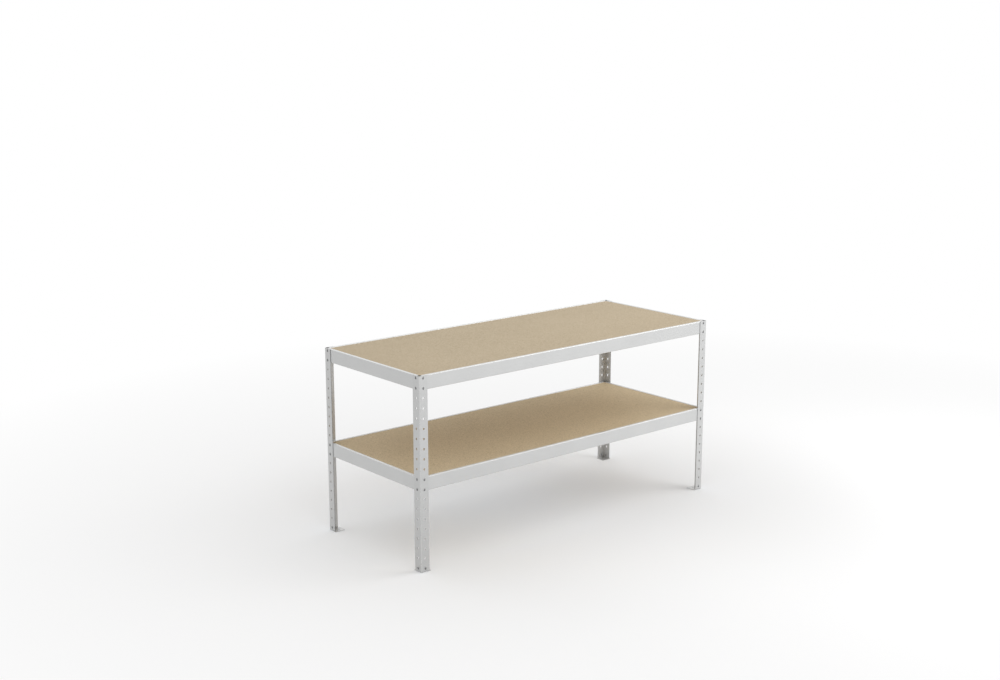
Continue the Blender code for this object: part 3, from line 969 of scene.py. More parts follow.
@dataclass(frozen=True)
class Chipboard:
    """Raw chipboard: flat chips of pale and brown wood pressed at all angles, with bark."""

    name: str
    tone: Colour
    chip: float = 0.0014
    contrast: float = 0.20
    depth: float = 0.00014
    flatness: float = 3.0
    length: float = 2.8
    layers: tuple[Span, ...] = ((1.0, 0.46), (1.8, 0.34), (0.55, 0.20))
    cloud_scale: float = 2.6
    cloud_middle: float = 0.5
    cloud_share: float = 0.10
    tone_places: tuple[float, ...] = (0.24, 0.40, 0.54, 0.76)
    tints: tuple[Colour, ...] = (
        (1.0, 0.95, 0.90),
        (0.93, 0.91, 0.88),
        (1.02, 1.02, 1.02),
        (1.0, 1.0, 1.08),
    )
    bark_size: float = 3.4
    bark_span: Span = (0.60, 0.95)
    bark_reach: float = 0.34
    bark_edge: float = 0.06
    bark_cover: float = 0.62
    bark_shade: float = 0.40
    fuzz_per_chip: float = 1.6
    fuzz_span: Span = (0.3, 0.7)
    roughness: Span = (0.66, 0.86)
    specular: float = 0.35
    fuzz_share: float = 0.45
    bump_strength: float = 0.8
    patch_per_chip: float = 0.16
    most_turn: float = 4 * math.pi
    ragged_per_chip: float = 0.9

    def make(self) -> bpy.types.Material:
        """Build the material: layers of chips of several sizes, each with its own share.

        Returns:
            The material.
        """
        sheet = MaterialSheet(self.name)
        chips = [self._chips(sheet, self.chip * size).outputs["Color"] for size, _ in self.layers]
        shares = [share for _, share in self.layers]
        wood = sheet.weighted([(sheet.grey(chip), share) for chip, share in zip(chips, shares)])
        clouds = sheet.noise(self.cloud_scale, detail=3.0)
        clouds = sheet.combine(clouds, -self.cloud_middle)
        wood = sheet.combine(wood, sheet.combine(clouds, self.cloud_share, "MULTIPLY"))
        shades = (1 - 2 * self.contrast, 1.0, 1.0, 1 + self.contrast)
        colours = [
            tuple(part * shade * share for part, share in zip(self.tone, tint))
            for shade, tint in zip(shades, self.tints)
        ]
        base = sheet.ramp(wood, [*zip(self.tone_places, colours)])
        bark = self._chips(sheet, self.chip * self.bark_size)
        chosen = sheet.grey(bark.outputs["Color"])
        reach = sheet.span(chosen, *self.bark_span, 0.0, self.bark_reach)
        inside = sheet.combine(reach, bark.outputs["Distance"], "SUBTRACT")
        speck = sheet.span(inside, 0.0, self.bark_edge, 0.0, self.bark_cover)
        sheet.shade("Base Color", sheet.mix(speck, base, scaled(self.tone, self.bark_shade)))
        fuzz = sheet.noise(self.fuzz_per_chip / self.chip, detail=3.0)
        sheet.shade("Roughness", sheet.span(fuzz, *self.fuzz_span, *self.roughness))
        sheet.shade("Specular IOR Level", self.specular)
        height = sheet.combine(wood, sheet.combine(fuzz, self.fuzz_share, "MULTIPLY"))
        sheet.bump(height, self.depth, self.bump_strength)
        return sheet.material

    def _chips(self, sheet: MaterialSheet, width: float) -> bpy.types.Node:
        """Return cells shaped as long chips, each small patch of them lying its own way.

        Args:
            sheet: The material.
            width: The width of a chip.

        Returns:
            The Voronoi node of the chips.
        """
        patch = sheet.cells(self.patch_per_chip / width).outputs["Color"]
        angle = sheet.combine(sheet.grey(patch), self.most_turn, "MULTIPLY")
        inputs = {"Vector": sheet.place, "Angle": angle}
        laid = sheet.add("ShaderNodeVectorRotate", inputs, rotation_type="Z_AXIS").outputs[0]
        stretch = {"Vector": laid, "Scale": (1.0 / self.length, 1.0, self.flatness)}
        laid = sheet.add("ShaderNodeMapping", stretch).outputs["Vector"]
        ragged = {"Vector": laid, "Scale": self.ragged_per_chip / width, "Detail": 2.0}
        shift = sheet.add("ShaderNodeTexNoise", ragged).outputs["Color"]
        shift = sheet.add("ShaderNodeVectorMath", {0: shift, "Scale": width}, operation="SCALE")
        bent = {0: laid, 1: shift.outputs[0]}
        laid = sheet.add("ShaderNodeVectorMath", bent, operation="ADD").outputs[0]
        return sheet.cells(1.0 / width, laid)


class Finish(Enum):
    """The finishes of the table."""

    POST = CoatedSteel("post_coat", (0.622, 0.627, 0.624))
    BEAM = CoatedSteel("beam_coat", (0.650, 0.655, 0.652))
    # Bare steel of the cut edges; its dark tone is partly painted shade in the keyholes and in the
    # gaps at the posts' free edges.
    CUT = CutSteel("cut_edge_steel", (0.20, 0.20, 0.203))
    PLATE = ZincSteel("plate_zinc", (0.66, 0.665, 0.665))
    # Zinc rivets, their heads made dark as painted shade for the keyholes they sit in.
    RIVET = ZincSteel("rivet_zinc", (0.25, 0.25, 0.255), roughness=0.34)
    UPPER_BOARD = Chipboard("upper_board_chips", (0.515, 0.425, 0.290))
    # Painted light: the lower board's chips are paler than the upper's, for light that reaches under
    # the upper board.
    LOWER_BOARD = Chipboard("lower_board_chips", (0.612, 0.492, 0.315))
    SAWN = Chipboard(
        "sawn_edge_chips",
        (0.455, 0.368, 0.245),
        chip=0.0018,
        contrast=0.24,
        depth=0.0004,
        flatness=4.0,
    )


class FinishRack:
    """Keeps one material of each finish."""

    def __init__(self) -> None:
        """Start with no material made."""
        self._made: dict[Finish, bpy.types.Material] = {}

    def material(self, finish: Finish) -> bpy.types.Material:
        """Return the material of a finish, made when it is first asked for.

        Args:
            finish: The finish.

        Returns:
            Its material.
        """
        if finish not in self._made:
            self._made[finish] = finish.value.make()
        return self._made[finish]


# Pieces


def add_object(name: str, data: bpy.types.ID, place: Matrix | None = None) -> bpy.types.Object:
    """Add an object to the scene.

    Args:
        name: Its name.
        data: Its mesh, camera or light.
        place: Its place, or None for the origin.

    Returns:
        The object.
    """
    item = bpy.data.objects.new(name, data)
    if place is not None:
        item.matrix_world = place
    bpy.context.scene.collection.objects.link(item)
    return item


@dataclass(frozen=True)
class Placing:
    """Where a new piece belongs: its body, the name of its slot, and what it replaces."""

    name: str
    slot: str
    replaces: tuple[str, ...]
    body: str = "frame"

    @classmethod
    def of(cls, look: str, node: str, slot: str, body: str = "frame") -> "Placing":
        """Return the placing of a piece that stands for one node."""
        return cls(f"{look}_{node}", slot, (node,), body)


@dataclass
class Workshop:
    """Turns surfaces into finished objects of the scene."""

    rack: FinishRack = field(default_factory=FinishRack)
    reach_limit: float = 0.0006
    edge_segments: int = 2
    sharp_angle: float = math.radians(50)
    area_weight: int = 100

    def finished(
        self,
        placing: Placing,
        points: np.ndarray,
        faces: list[list[int]],
        finishes: Sequence[Finish],
        slots: np.ndarray,
        edge: float = 0.0,
    ) -> bpy.types.Object:
        """Add a piece to the scene.

        Args:
            placing: Its name, and where it belongs.
            points: Its points, in their place.
            faces: Its faces, by the numbers of their points.
            finishes: Its finishes.
            slots: Which of the finishes each face has.
            edge: The width of its broken edges, or 0 for none.

        Returns:
            The finished object.
        """
        mesh = bpy.data.meshes.new(placing.name)
        mesh.from_pydata(points.tolist(), [], faces)
        for finish in finishes:
            mesh.materials.append(self.rack.material(finish))
        mesh.polygons.foreach_set("material_index", slots.astype(np.int32))
        mesh.shade_smooth()
        item = add_object(placing.name, mesh)
        if edge > 0:
            self.break_edges(item, edge)
        self.even_shading(item)
        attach(item, placing.body)
        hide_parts(*placing.replaces)
        self.report(placing, points, len(faces))
        return item

    def piece(
        self,
        placing: Placing,
        shell: Shell,
        finish: Finish,
        cut: Finish | None = None,
        edge: float = 0.0,
    ) -> bpy.types.Object:
        """Add a piece made of a shell to the scene, with its worn rims and the painted highlight of
        its folds.

        Args:
            placing: Its name, and where it belongs.
            shell: Its surface, in its place.
            finish: The finish of its faces.
            cut: The finish of its cut edges, or None where they are as its faces.
            edge: The width of its broken edges, or 0 for none.

        Returns:
            The finished object.
        """
        faces = [*shell.quads.tolist(), *shell.triangles.tolist()]
        slots = np.concatenate([shell.quad_cuts, np.zeros(len(shell.triangles), bool)])
        finishes = [finish] if cut is None else [finish, cut]
        slots &= cut is not None
        item = self.finished(placing, shell.points, faces, finishes, slots, edge)
        item.data.attributes.new(RIM, "FLOAT", "POINT").data.foreach_set("value", shell.rim)
        return item

    def break_edges(self, item: bpy.types.Object, width: float) -> None:
        """Round the sharp edges of a piece a little.

        Args:
            item: The piece.
            width: The width of the rounding.
        """
        bevel = item.modifiers.new("broken_edges", "BEVEL")
        bevel.width = width
        bevel.segments = self.edge_segments
        bevel.limit_method = "ANGLE"
        bevel.angle_limit = self.sharp_angle

    def even_shading(self, item: bpy.types.Object) -> None:
        """Let the broad faces set the shading, so that flats look flat.

        Args:
            item: The piece.
        """
        normals = item.modifiers.new("even_shading", "WEIGHTED_NORMAL")
        normals.mode = "FACE_AREA"
        normals.weight = self.area_weight

    def report(self, placing: Placing, points: np.ndarray, faces: int) -> None:
        """Log a piece, and warn where it leaves the box of the nodes that it replaces.

        Args:
            placing: Its name, and where it belongs.
            points: Its points.
            faces: The number of its faces.
        """
        boxes = np.array([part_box(node) for node in placing.replaces])
        low = boxes[:, 0].min(axis=0) - points.min(axis=0)
        high = points.max(axis=0) - boxes[:, 1].max(axis=0)
        past = float(max(low.max(), high.max()))
        LOG.info("%s: %d faces", placing.name, faces)
        if past > self.reach_limit:
            LOG.warning("%s reaches %.1f mm past its node", placing.name, past * 1000)


@dataclass
class AnglePosts:
    """The four posts: folded angles with one row of keyholes down each flange."""

    bend_radius: float = 0.004
    keyhole_rise: float = 0.0050
    keyhole_side: float = 0.0075
    keyhole_below: float = 0.0060
    keyhole_above: float = 0.0115
    rim_width: float = 0.0015
    edge: float = 0.00018
    entry_steps: int = 13
    seat_steps: int = 6

    def keyhole(self, u: float, seat: float) -> Hole:
        """Return a keyhole: the outline around a wide entry circle over a narrow seat circle.

        Args:
            u: Its middle line across the flange.
            seat: The height of the middle of its seat.

        Returns:
            The hole.
        """
        wide, narrow = SIZES.entry_radius, SIZES.seat_radius
        lean = math.asin((wide - narrow) / self.keyhole_rise)
        middle = (u, seat + self.keyhole_rise)
        entry = arc(middle, wide, -lean, math.pi + lean, self.entry_steps)
        end = math.tau - lean
        bottom = arc((u, seat), narrow, math.pi + lean, end, self.seat_steps)
        outline = np.concatenate([entry, bottom])
        u_span = (u - self.keyhole_side, u + self.keyhole_side)
        return Hole(outline, u_span, (seat - self.keyhole_below, seat + self.keyhole_above))

    def shell(self) -> Shell:
        """Return the shell of the front left post.

        Returns:
            The shell, its outer corner on the Z axis.
        """
        flange = SIZES.post_flange
        corners = ((flange, 0.0), (0.0, 0.0), (0.0, flange))
        sheet = FoldedSheet(corners, SIZES.post_sheet, self.bend_radius)
        lines = (flange - SIZES.flange_line, flange + SIZES.flange_line)
        holes = [self.keyhole(u, float(seat)) for u in lines for seat in SIZES.seats()]
        rims = [self.rim_width, 2 * flange - self.rim_width]
        u_lines = merged_lines(sheet.bend_lines(), rims)
        v_lines = np.array([SIZES.post_foot, SIZES.post_foot + self.rim_width, SIZES.height])
        pattern = SheetPattern(u_lines, v_lines, holes)
        return pattern.shell(sheet.carried((0, 1, 2)), sheet.wear_at)

    def build(self, workshop: Workshop) -> None:
        """Add the four posts.

        Args:
            workshop: What finishes the pieces.
        """
        shell = self.shell()
        for corner in Corner:
            placing = Placing.of("angle", f"post_{corner.label}", "post_steel")
            placed = shell.placed(corner.turns, corner.spot)
            workshop.piece(placing, placed, Finish.POST, Finish.CUT, self.edge)


@dataclass
class EdgeBeams:
    """The beams: one folded sheet each, with a lip, a step down, a ledge and end tabs."""

    return_width: float = 0.013
    tab_play: float = 0.0002
    hole_margin: float = 0.0026
    hole_steps: int = 16
    rim_width: float = 0.0012
    edge: float = 0.00015

    @property
    def web_end(self) -> float:
        """How far the end tabs stop from the outer face of the crossing side."""
        return SIZES.inner_face + SIZES.beam_sheet + SIZES.end_clearance + self.tab_play

    def sheet(self) -> FoldedSheet:
        """Return the section of a beam.

        Returns:
            The folded sheet: inwards from the outer face, and up from the bottom.
        """
        lip, ledge = SIZES.lip_width, SIZES.ledge_height
        corners = (
            (self.return_width, 0.0),
            (0.0, 0.0),
            (0.0, SIZES.beam_height),
            (lip, SIZES.beam_height),
            (lip, ledge),
            (lip + SIZES.ledge_width, ledge),
        )
        return FoldedSheet(corners, SIZES.beam_sheet, SIZES.beam_bend)

    def shell(self, span: float, short_ledge: bool) -> Shell:
        """Return the shell of the front beam of a side, its outer bottom edge on the X axis.

        Args:
            span: The size of the table along the beam, over the posts.
            short_ledge: Whether the ledge stops clear of the crossing beams' ledges.

        Returns:
            The shell.
        """
        sheet = self.sheet()
        half = span / 2
        low = self.return_width
        clear = SIZES.beam_bend + SIZES.end_clearance
        tab = (low + clear, low + SIZES.beam_height - clear)
        step_bottom = low + 2 * SIZES.beam_height + SIZES.lip_width - SIZES.ledge_height
        step_cut = step_bottom - SIZES.beam_bend
        tail = step_bottom + SIZES.ledge_width
        ends = [half - self.web_end, half - SIZES.fold_end]
        ledge_end = half - SIZES.fold_end - SIZES.ledge_width
        heights = [low + SIZES.beam_height - drop for drop in SIZES.rivet_drops()]
        holes = []
        for end in (-1, 1):
            for place in heights:
                v = end * (half - SIZES.flange_line)
                hole = Hole.round(place, v, SIZES.seat_radius, self.hole_margin, self.hole_steps)
                u_low = max(hole.u_span[0], low + SIZES.beam_bend)
                holes.append(Hole(hole.outline, (u_low, hole.u_span[1]), hole.v_span))
        u_rims = [self.rim_width, tail - self.rim_width]
        u_lines = merged_lines(sheet.bend_lines(), tab, u_rims, [step_cut])
        v_half = np.array([*ends, ledge_end, ends[0] - self.rim_width])
        v_lines = merged_lines(v_half, -v_half)
        pattern = SheetPattern(u_lines, v_lines, holes)
        for sign in (-1, 1):
            beyond = (sign * ends[1], sign * half)
            pattern.cut((0.0, tab[0]), beyond)
            pattern.cut((tab[1], tail), beyond)
            if short_ledge:
                pattern.cut((step_cut, tail), (sign * ledge_end, sign * half))
        return pattern.shell(sheet.carried((2, 0, 1)), sheet.wear_at)

    def build(self, workshop: Workshop) -> None:
        """Add the four beams of each level.

        Args:
            workshop: What finishes the pieces.
        """
        out_x = SIZES.length / 2 - SIZES.inner_face
        out_y = SIZES.width / 2 - SIZES.inner_face
        shells = {True: self.shell(SIZES.length, False), False: self.shell(SIZES.width, True)}
        for level in Level:
            base = SIZES.level_base(level)
            for side in Side:
                spot = (side.value[0] * out_x, side.value[1] * out_y, base)
                node = f"{level.label}_beam_{side.label}"
                placing = Placing.of("folded", node, "beam_steel")
                placed = shells[side.is_long].placed(side.turns, spot)
                workshop.piece(placing, placed, Finish.BEAM, Finish.CUT, self.edge)


@dataclass
class CrossBars:
    """The bar under the middle of each board: a folded channel with its lips turned in."""

    width: float = 0.040
    sheet_thickness: float = 0.0015
    bend_radius: float = 0.0030
    lip: float = 0.010
    rim_width: float = 0.0012
    edge: float = 0.00015

    def shell(self) -> Shell:
        """Return the shell of a bar along Y.

        Returns:
            The shell, its underside at height zero.
        """
        base = SIZES.beam_sheet + SIZES.fit_gap
        height = SIZES.ledge_height - base
        half = self.width / 2
        corners = (
            (self.lip - half, 0.0),
            (-half, 0.0),
            (-half, height),
            (half, height),
            (half, 0.0),
            (half - self.lip, 0.0),
        )
        sheet = FoldedSheet(corners, self.sheet_thickness, self.bend_radius)
        depth = self.bend_radius + SIZES.end_clearance
        notch = (self.lip + height - depth, self.lip + height + self.width + depth)
        total = 2 * (self.lip + height) + self.width
        end = SIZES.width / 2 - SIZES.inner_face - SIZES.beam_bend
        notch_end = SIZES.width / 2 - SIZES.fold_end - SIZES.ledge_width
        rims = [self.rim_width, total - self.rim_width]
        v_lines = merged_lines([-end, -notch_end, notch_end, end])
        pattern = SheetPattern(merged_lines(sheet.bend_lines(), notch, rims), v_lines)
        pattern.cut(notch, (notch_end, end))
        pattern.cut(notch, (-end, -notch_end))
        return pattern.shell(sheet.carried((0, 2, 1)), sheet.wear_at)

    def build(self, workshop: Workshop) -> None:
        """Add one bar to each level.

        Args:
            workshop: What finishes the pieces.
        """
        shell = self.shell()
        for level in Level:
            base = SIZES.level_base(level) + SIZES.beam_sheet + SIZES.fit_gap
            placing = Placing.of("folded", f"{level.label}_cross_bar", "bar_steel")
            placed = shell.placed(0, (0.0, 0.0, base))
            workshop.piece(placing, placed, Finish.BEAM, Finish.CUT, self.edge)


@dataclass
class FootPlates:
    """The plates under the posts, each with two ears turned up inside the flanges."""

    size: float = 0.058
    corner_radius: float = 0.0040
    ear_width: float = 0.022
    ear_top_margin: float = 0.011
    ear_bend: float = 0.0040
    ear_relief: float = 0.0015
    anchor_radius: float = 0.0045
    anchor_inset: float = 0.034
    rivet_margin: float = 0.0025
    rivet_steps: int = 16
    anchor_margin: float = 0.003
    anchor_steps: int = 24
    bend_steps: int = 6
    corner_segments: int = 6
    edge: float = 0.00018

    def shell(self) -> Shell:
        """Return the shell of the front left plate, its outer corner at the origin.

        u and v are counted from the root line of each ear. Past the root line, u or v is the
        way up an ear: round the bend, then straight up. Beside the ears it is squeezed onto
        what is left of the plate there.

        Returns:
            The shell.
        """
        root = SIZES.inner_face + self.ear_bend
        top = float(SIZES.seats()[-1]) + self.ear_top_margin
        middle = self.ear_bend - SIZES.foot_sheet / 2
        bend = QUARTER_TURN * middle
        rise = bend + top - self.ear_bend
        line = SIZES.flange_line
        seat = rise - self.ear_top_margin
        near, far = line - self.ear_width / 2 - root, line + self.ear_width / 2 - root
        relief = self.ear_relief
        around = np.array([near - relief, near, far, far + relief, self.size - root])
        lines = merged_lines([-rise], np.linspace(-bend, 0.0, self.bend_steps + 1), around)
        rivet_hole = (SIZES.seat_radius, self.rivet_margin, self.rivet_steps)
        anchor_hole = (self.anchor_radius, self.anchor_margin, self.anchor_steps)
        inset = self.anchor_inset - root
        holes = [
            Hole.round(line - root, -seat, *rivet_hole),
            Hole.round(-seat, line - root, *rivet_hole),
            Hole.round(inset, inset, *anchor_hole),
        ]
        pattern = SheetPattern(lines, lines, holes)
        for span in ((near - relief, near), (far, far + relief)):
            pattern.cut(span, (-rise, 0.0))
            pattern.cut((-rise, 0.0), span)

        def surface(u: np.ndarray, v: np.ndarray) -> tuple[np.ndarray, np.ndarray]:
            """Return both faces of the plate and its ears.

            Args:
                u: Places along X, or up the left ear.
                v: Places along Y, or up the front ear.

            Returns:
                The points of the underside, and of the upper face.
            """
            in_front = (v < 0) & (u > near - TOLERANCE) & (u < far + TOLERANCE)
            in_left = (u < 0) & (v > near - TOLERANCE) & (v < far + TOLERANCE)
            x = np.where(u < 0, root * (1 + u / rise), root + u)
            y = np.where(v < 0, root * (1 + v / rise), root + v)
            faces = []
            levels = ((self.ear_bend, 0.0), (middle * 2 - self.ear_bend, SIZES.foot_sheet))
            for radius, level in levels:
                z = np.full(len(u), level)
                y_ear, z_front = self._ear(-v, root, radius, bend)
                x_ear, z_left = self._ear(-u, root, radius, bend)
                x_all = np.where(in_left, x_ear, x)
                y_all = np.where(in_front, y_ear, y)
                z = np.where(in_front, z_front, np.where(in_left, z_left, z))
                faces.append(np.column_stack([x_all, y_all, z]))
            return faces[0], faces[1]

        return pattern.shell(surface, np.zeros_like)

    def _ear(
        self, way: np.ndarray, root: float, radius: float, bend: float
    ) -> tuple[np.ndarray, np.ndarray]:
        """Return how far out and how high a face of an ear is, some way up from its root.

        Round the bend, out = root - radius sin a and height = hub - radius cos a, with the
        angle a = way / bend of a quarter turn. Above it, out stays and height grows evenly.

        Args:
            way: The way up from the root line.
            root: Where the root line is.
            radius: The bend's radius on this face.
            bend: The length of the way round the bend.

        Returns:
            The distance from the plate's outer edge, and the height.
        """
        angle = QUARTER_TURN * np.clip(way / bend, 0.0, 1.0)
        out = root - radius * np.sin(angle)
        height = self.ear_bend - radius * np.cos(angle) + np.maximum(way - bend, 0.0)
        return out, height

    def round_corners(self, item: bpy.types.Object, corner: Corner) -> None:
        """Round the plate's four upright corners, ahead of its other edges.

        Args:
            item: The plate.
            corner: The corner of the table that it is under.
        """
        mesh = item.data
        points = np.empty(len(mesh.vertices) * 3, np.float32)
        mesh.vertices.foreach_get("co", points)
        ends = np.empty(len(mesh.edges) * 2, np.int32)
        mesh.edges.foreach_get("vertices", ends)
        place = points.reshape(-1, 3)[ends.reshape(-1, 2)]
        inward = (np.array(corner.spot[:2]) - place[:, :, :2]) * np.array(corner.value[:2])
        off_corner = np.minimum(np.abs(inward), np.abs(inward - self.size)).max(axis=2)
        weights = (off_corner < SAME_PLACE).all(axis=1).astype(np.float32)
        mesh.attributes.new("bevel_weight_edge", "FLOAT", "EDGE").data.foreach_set("value", weights)
        rounding = item.modifiers.new("round_corners", "BEVEL")
        rounding.width = self.corner_radius
        rounding.segments = self.corner_segments
        rounding.limit_method = "WEIGHT"
        item.modifiers.move(len(item.modifiers) - 1, 0)

    def build(self, workshop: Workshop) -> None:
        """Add the four plates.

        Args:
            workshop: What finishes the pieces.
        """
        shell = self.shell()
        for corner in Corner:
            placing = Placing.of("eared", f"foot_plate_{corner.label}", "plate_steel")
            placed = shell.placed(corner.turns, corner.spot)
            item = workshop.piece(placing, placed, Finish.PLATE, edge=self.edge)
            self.round_corners(item, corner)


@dataclass
class Rivets:
    """The flat-headed rivets in the beams and in the ears of the foot plates."""

    head_height: float = 0.0016
    head_gap: float = 0.00025
    crown: float = 0.0004
    head_round: float = 0.0004
    clinch_radius: float = 0.0036
    clinch_height: float = 0.0012
    dimple: float = 0.0005
    broken: float = 0.0001
    crown_points: int = 5
    shoulder_steps: int = 3
    steps: int = 28

    def profile(self, grip: float) -> np.ndarray:
        """Return the section: a low crowned head, a shank, and a clinched end with a dimple.

        Args:
            grip: The depth from the post's outer face to the back of the sheets it holds.

        Returns:
            Radius and height, from the top of the head to the middle of the clinched end.
        """
        gap = SIZES.fit_gap
        radius = SIZES.entry_radius - self.head_gap
        shank = SIZES.seat_radius - gap
        top = gap + self.head_height
        side = radius - self.head_round
        across = np.linspace(0.0, side, self.crown_points)
        crown = np.column_stack([across, top - self.crown * (across / side) ** 2])
        shoulder = top - self.crown - self.head_round
        steps = self.shoulder_steps
        rounding = arc((side, shoulder), self.head_round, QUARTER_TURN, 0.0, steps)[1:]
        back = -grip - gap
        end = back - self.clinch_height
        soft = self.clinch_height / 3
        clinch = self.clinch_radius
        rest = np.array([
            (radius, gap + self.broken),
            (radius - self.broken, gap),
            (shank, gap),
            (shank, back),
            (clinch - self.broken, back),
            (clinch, back - self.broken),
            (clinch, end + soft),
            (clinch - soft, end),
            (clinch / 2, end),
            (clinch / 4, end + self.dimple),
            (0.0, end + self.dimple),
        ])
        return np.concatenate([crown, rounding, rest])

    def shell(self, grip: float, spots: Sequence[tuple[float, float, float, int]]) -> Shell:
        """Return several rivets, each pointing out of its side of the table.

        Args:
            grip: Their grip.
            spots: The place of each on the outer face of the post, and its quarter turns.

        Returns:
            The shell of all of them.
        """
        upright = turned_shell(self.profile(grip), self.steps)
        x, y, z = upright.points.T
        rivet = replace(upright, points=np.column_stack([x, -z, y])).outward()
        return joined([rivet.placed(turns, (x, y, z)) for x, y, z, turns in spots])

    def beam_set(self, side: Side, top: float) -> Shell:
        """Return the four rivets of the beam on one side.

        Args:
            side: The side of the table.
            top: The height of the beam's lip.

        Returns:
            The shell of all four.
        """
        span = SIZES.length if side.is_long else SIZES.width
        half = (SIZES.width if side.is_long else SIZES.length) / 2
        local = np.array([
            (end * (span / 2 - SIZES.flange_line), -half, top - drop)
            for end in (-1, 1)
            for drop in SIZES.rivet_drops()
        ])
        places = quarter_turned(local, side.turns)
        grip = SIZES.inner_face + SIZES.beam_sheet
        return self.shell(grip, [(*place, side.turns) for place in places.tolist()])

    def foot_set(self, corner: Corner) -> Shell:
        """Return the two rivets that hold the ears of one foot plate.

        Args:
            corner: The corner of the table.

        Returns:
            The shell of both.
        """
        x_sign, y_sign, _ = corner.value
        x, y, _ = corner.spot
        seat = float(SIZES.seats()[-1])
        long_side = Side.FRONT if y_sign < 0 else Side.BACK
        short_side = Side.LEFT if x_sign < 0 else Side.RIGHT
        spots = [
            (x - x_sign * SIZES.flange_line, y, seat, long_side.turns),
            (x, y - y_sign * SIZES.flange_line, seat, short_side.turns),
        ]
        return self.shell(SIZES.inner_face + SIZES.foot_sheet, spots)

    def build(self, workshop: Workshop) -> None:
        """Add the rivets of each beam and of each foot plate.

        Args:
            workshop: What finishes the pieces.
        """
        for level in Level:
            for side in Side:
                beam = f"{level.label}_beam_{side.label}"
                nodes = tuple(f"{beam}_rivet_{number}" for number in range(1, 5))
                placing = Placing(f"{beam}_rivets", "rivet_steel", nodes)
                shell = self.beam_set(side, SIZES.level_top(level))
                workshop.piece(placing, shell, Finish.RIVET)
        for corner in Corner:
            plate = f"foot_plate_{corner.label}"
            nodes = (f"{plate}_rivet_1", f"{plate}_rivet_2")
            placing = Placing(f"{plate}_rivets", "rivet_steel", nodes)
            workshop.piece(placing, self.foot_set(corner), Finish.RIVET)


@dataclass
class Boards:
    """The two loose chipboards, sawn all round, with chips broken out along the edges."""

    margin: float = 0.0017
    least_round: float = 0.0003
    most_round: float = 0.0011
    edge_step: float = 0.004
    round_steps: int = 3
    kernel: tuple[float, ...] = (0.25, 0.5, 0.25)
    below_shift: int = 3
    seed: int = 7

    def crumbs(self, count: int) -> np.ndarray:
        """Return how far the edge is broken at each place around a board.

        Random values are averaged over a few neighbours, and the larger ones are stretched:
        least + (most - least) * value ^ 3.

        Args:
            count: The number of places around.

        Returns:
            The rounding at each place.
        """
        values = np.random.default_rng(self.seed).random(count)
        wrapped = np.concatenate([values[-1:], values, values[:1]])
        value = np.convolve(wrapped, self.kernel, mode="valid")
        return self.least_round + (self.most_round - self.least_round) * value**3

    def outline(self) -> tuple[np.ndarray, np.ndarray]:
        """Return the outline of a board.

        Returns:
            Places around it, and the direction that each faces.
        """
        inset = SIZES.inner_face + SIZES.lip_width + self.margin
        x, y = SIZES.length / 2 - inset, SIZES.width / 2 - inset
        corners = np.array([(-x, -y), (x, -y), (x, y), (-x, y)])
        runs, facings = [], []
        for number, (start, end) in enumerate(zip(corners, np.roll(corners, -1, axis=0))):
            count = int(np.linalg.norm(end - start) / self.edge_step)
            share = np.linspace(0.0, 1.0, count, endpoint=False)[:, None]
            runs.append(start + (end - start) * share)
            angle = QUARTER_TURN * (number - 1)
            facing = np.tile([math.cos(angle), math.sin(angle)], (count, 1))
            facing[0] = math.cos(angle) + math.sin(angle), math.sin(angle) - math.cos(angle)
            facings.append(facing)
        return np.concatenate(runs), np.concatenate(facings)

    def shell(self) -> tuple[np.ndarray, list[list[int]], np.ndarray]:
        """Return a board, its underside at height zero.

        The point at place k around and step s of the profile is place - facing * r (1 - sin a)
        outwards and thickness / 2 +- (thickness / 2 - r (1 - cos a)) upwards, with r the
        rounding at k and the angle a from the flat face to the sawn edge.

        Returns:
            The points, the faces, and whether each face is sawn.
        """
        places, facings = self.outline()
        count = len(places)
        angle = np.linspace(0.0, QUARTER_TURN, self.round_steps + 1)
        half = SIZES.board_thickness / 2
        rings = []
        for sign, shift in ((1, 0), (-1, count // self.below_shift)):
            broken = np.roll(self.crumbs(count), shift)
            for step in angle if sign > 0 else angle[::-1]:
                inset = (broken * (1 - math.sin(step)))[:, None]
                height = half + sign * (half - broken * (1 - math.cos(step)))
                rings.append(np.column_stack([places - facings * inset, height]))
        quads = ring_bands(len(rings), count)
        top = np.arange(count)
        bottom = count * (len(rings) - 1) + top[::-1]
        faces = [*quads[:, ::-1].tolist(), top.tolist(), bottom.tolist()]
        return np.concatenate(rings), faces, np.repeat([True, False], [len(quads), 2])

    def build(self, workshop: Workshop) -> None:
        """Add the board of each level.

        Args:
            workshop: What finishes the pieces.
        """
        points, faces, sawn = self.shell()
        for level in Level:
            base = SIZES.level_top(level) - SIZES.board_drop - SIZES.board_thickness
            node = f"{level.label}_board"
            placing = Placing.of("chip", node, "chipboard", body=node)
            # The lower board's paler tone is painted light under the upper board.
            face = Finish.UPPER_BOARD if level is Level.UPPER else Finish.LOWER_BOARD
            placed = points + (0.0, 0.0, base)
            workshop.finished(placing, placed, faces, (face, Finish.SAWN), sawn)


# Studio


@dataclass(frozen=True)
class Lamp:
    """A round soft lamp: its name, its place, its size and its power."""

    name: str
    spot: tuple[float, float, float]
    size: float
    power: float


@dataclass(frozen=True)
class FloorPatch:
    """A soft oval on the floor: its middle and its reach along X and Y, and its colour."""

    middle: tuple[float, float]
    reach: tuple[float, float]
    colour: Colour

    def share(self, sheet: MaterialSheet) -> Socket:
        """Return a value that fades from 1 in the middle of the oval to 0 at its reach."""
        away = sheet.away((*self.middle, 0.0), (*self.reach, 1.0))
        return sheet.span(away, 0.0, 1.0, 1.0, 0.0, interpolation_type="SMOOTHSTEP")


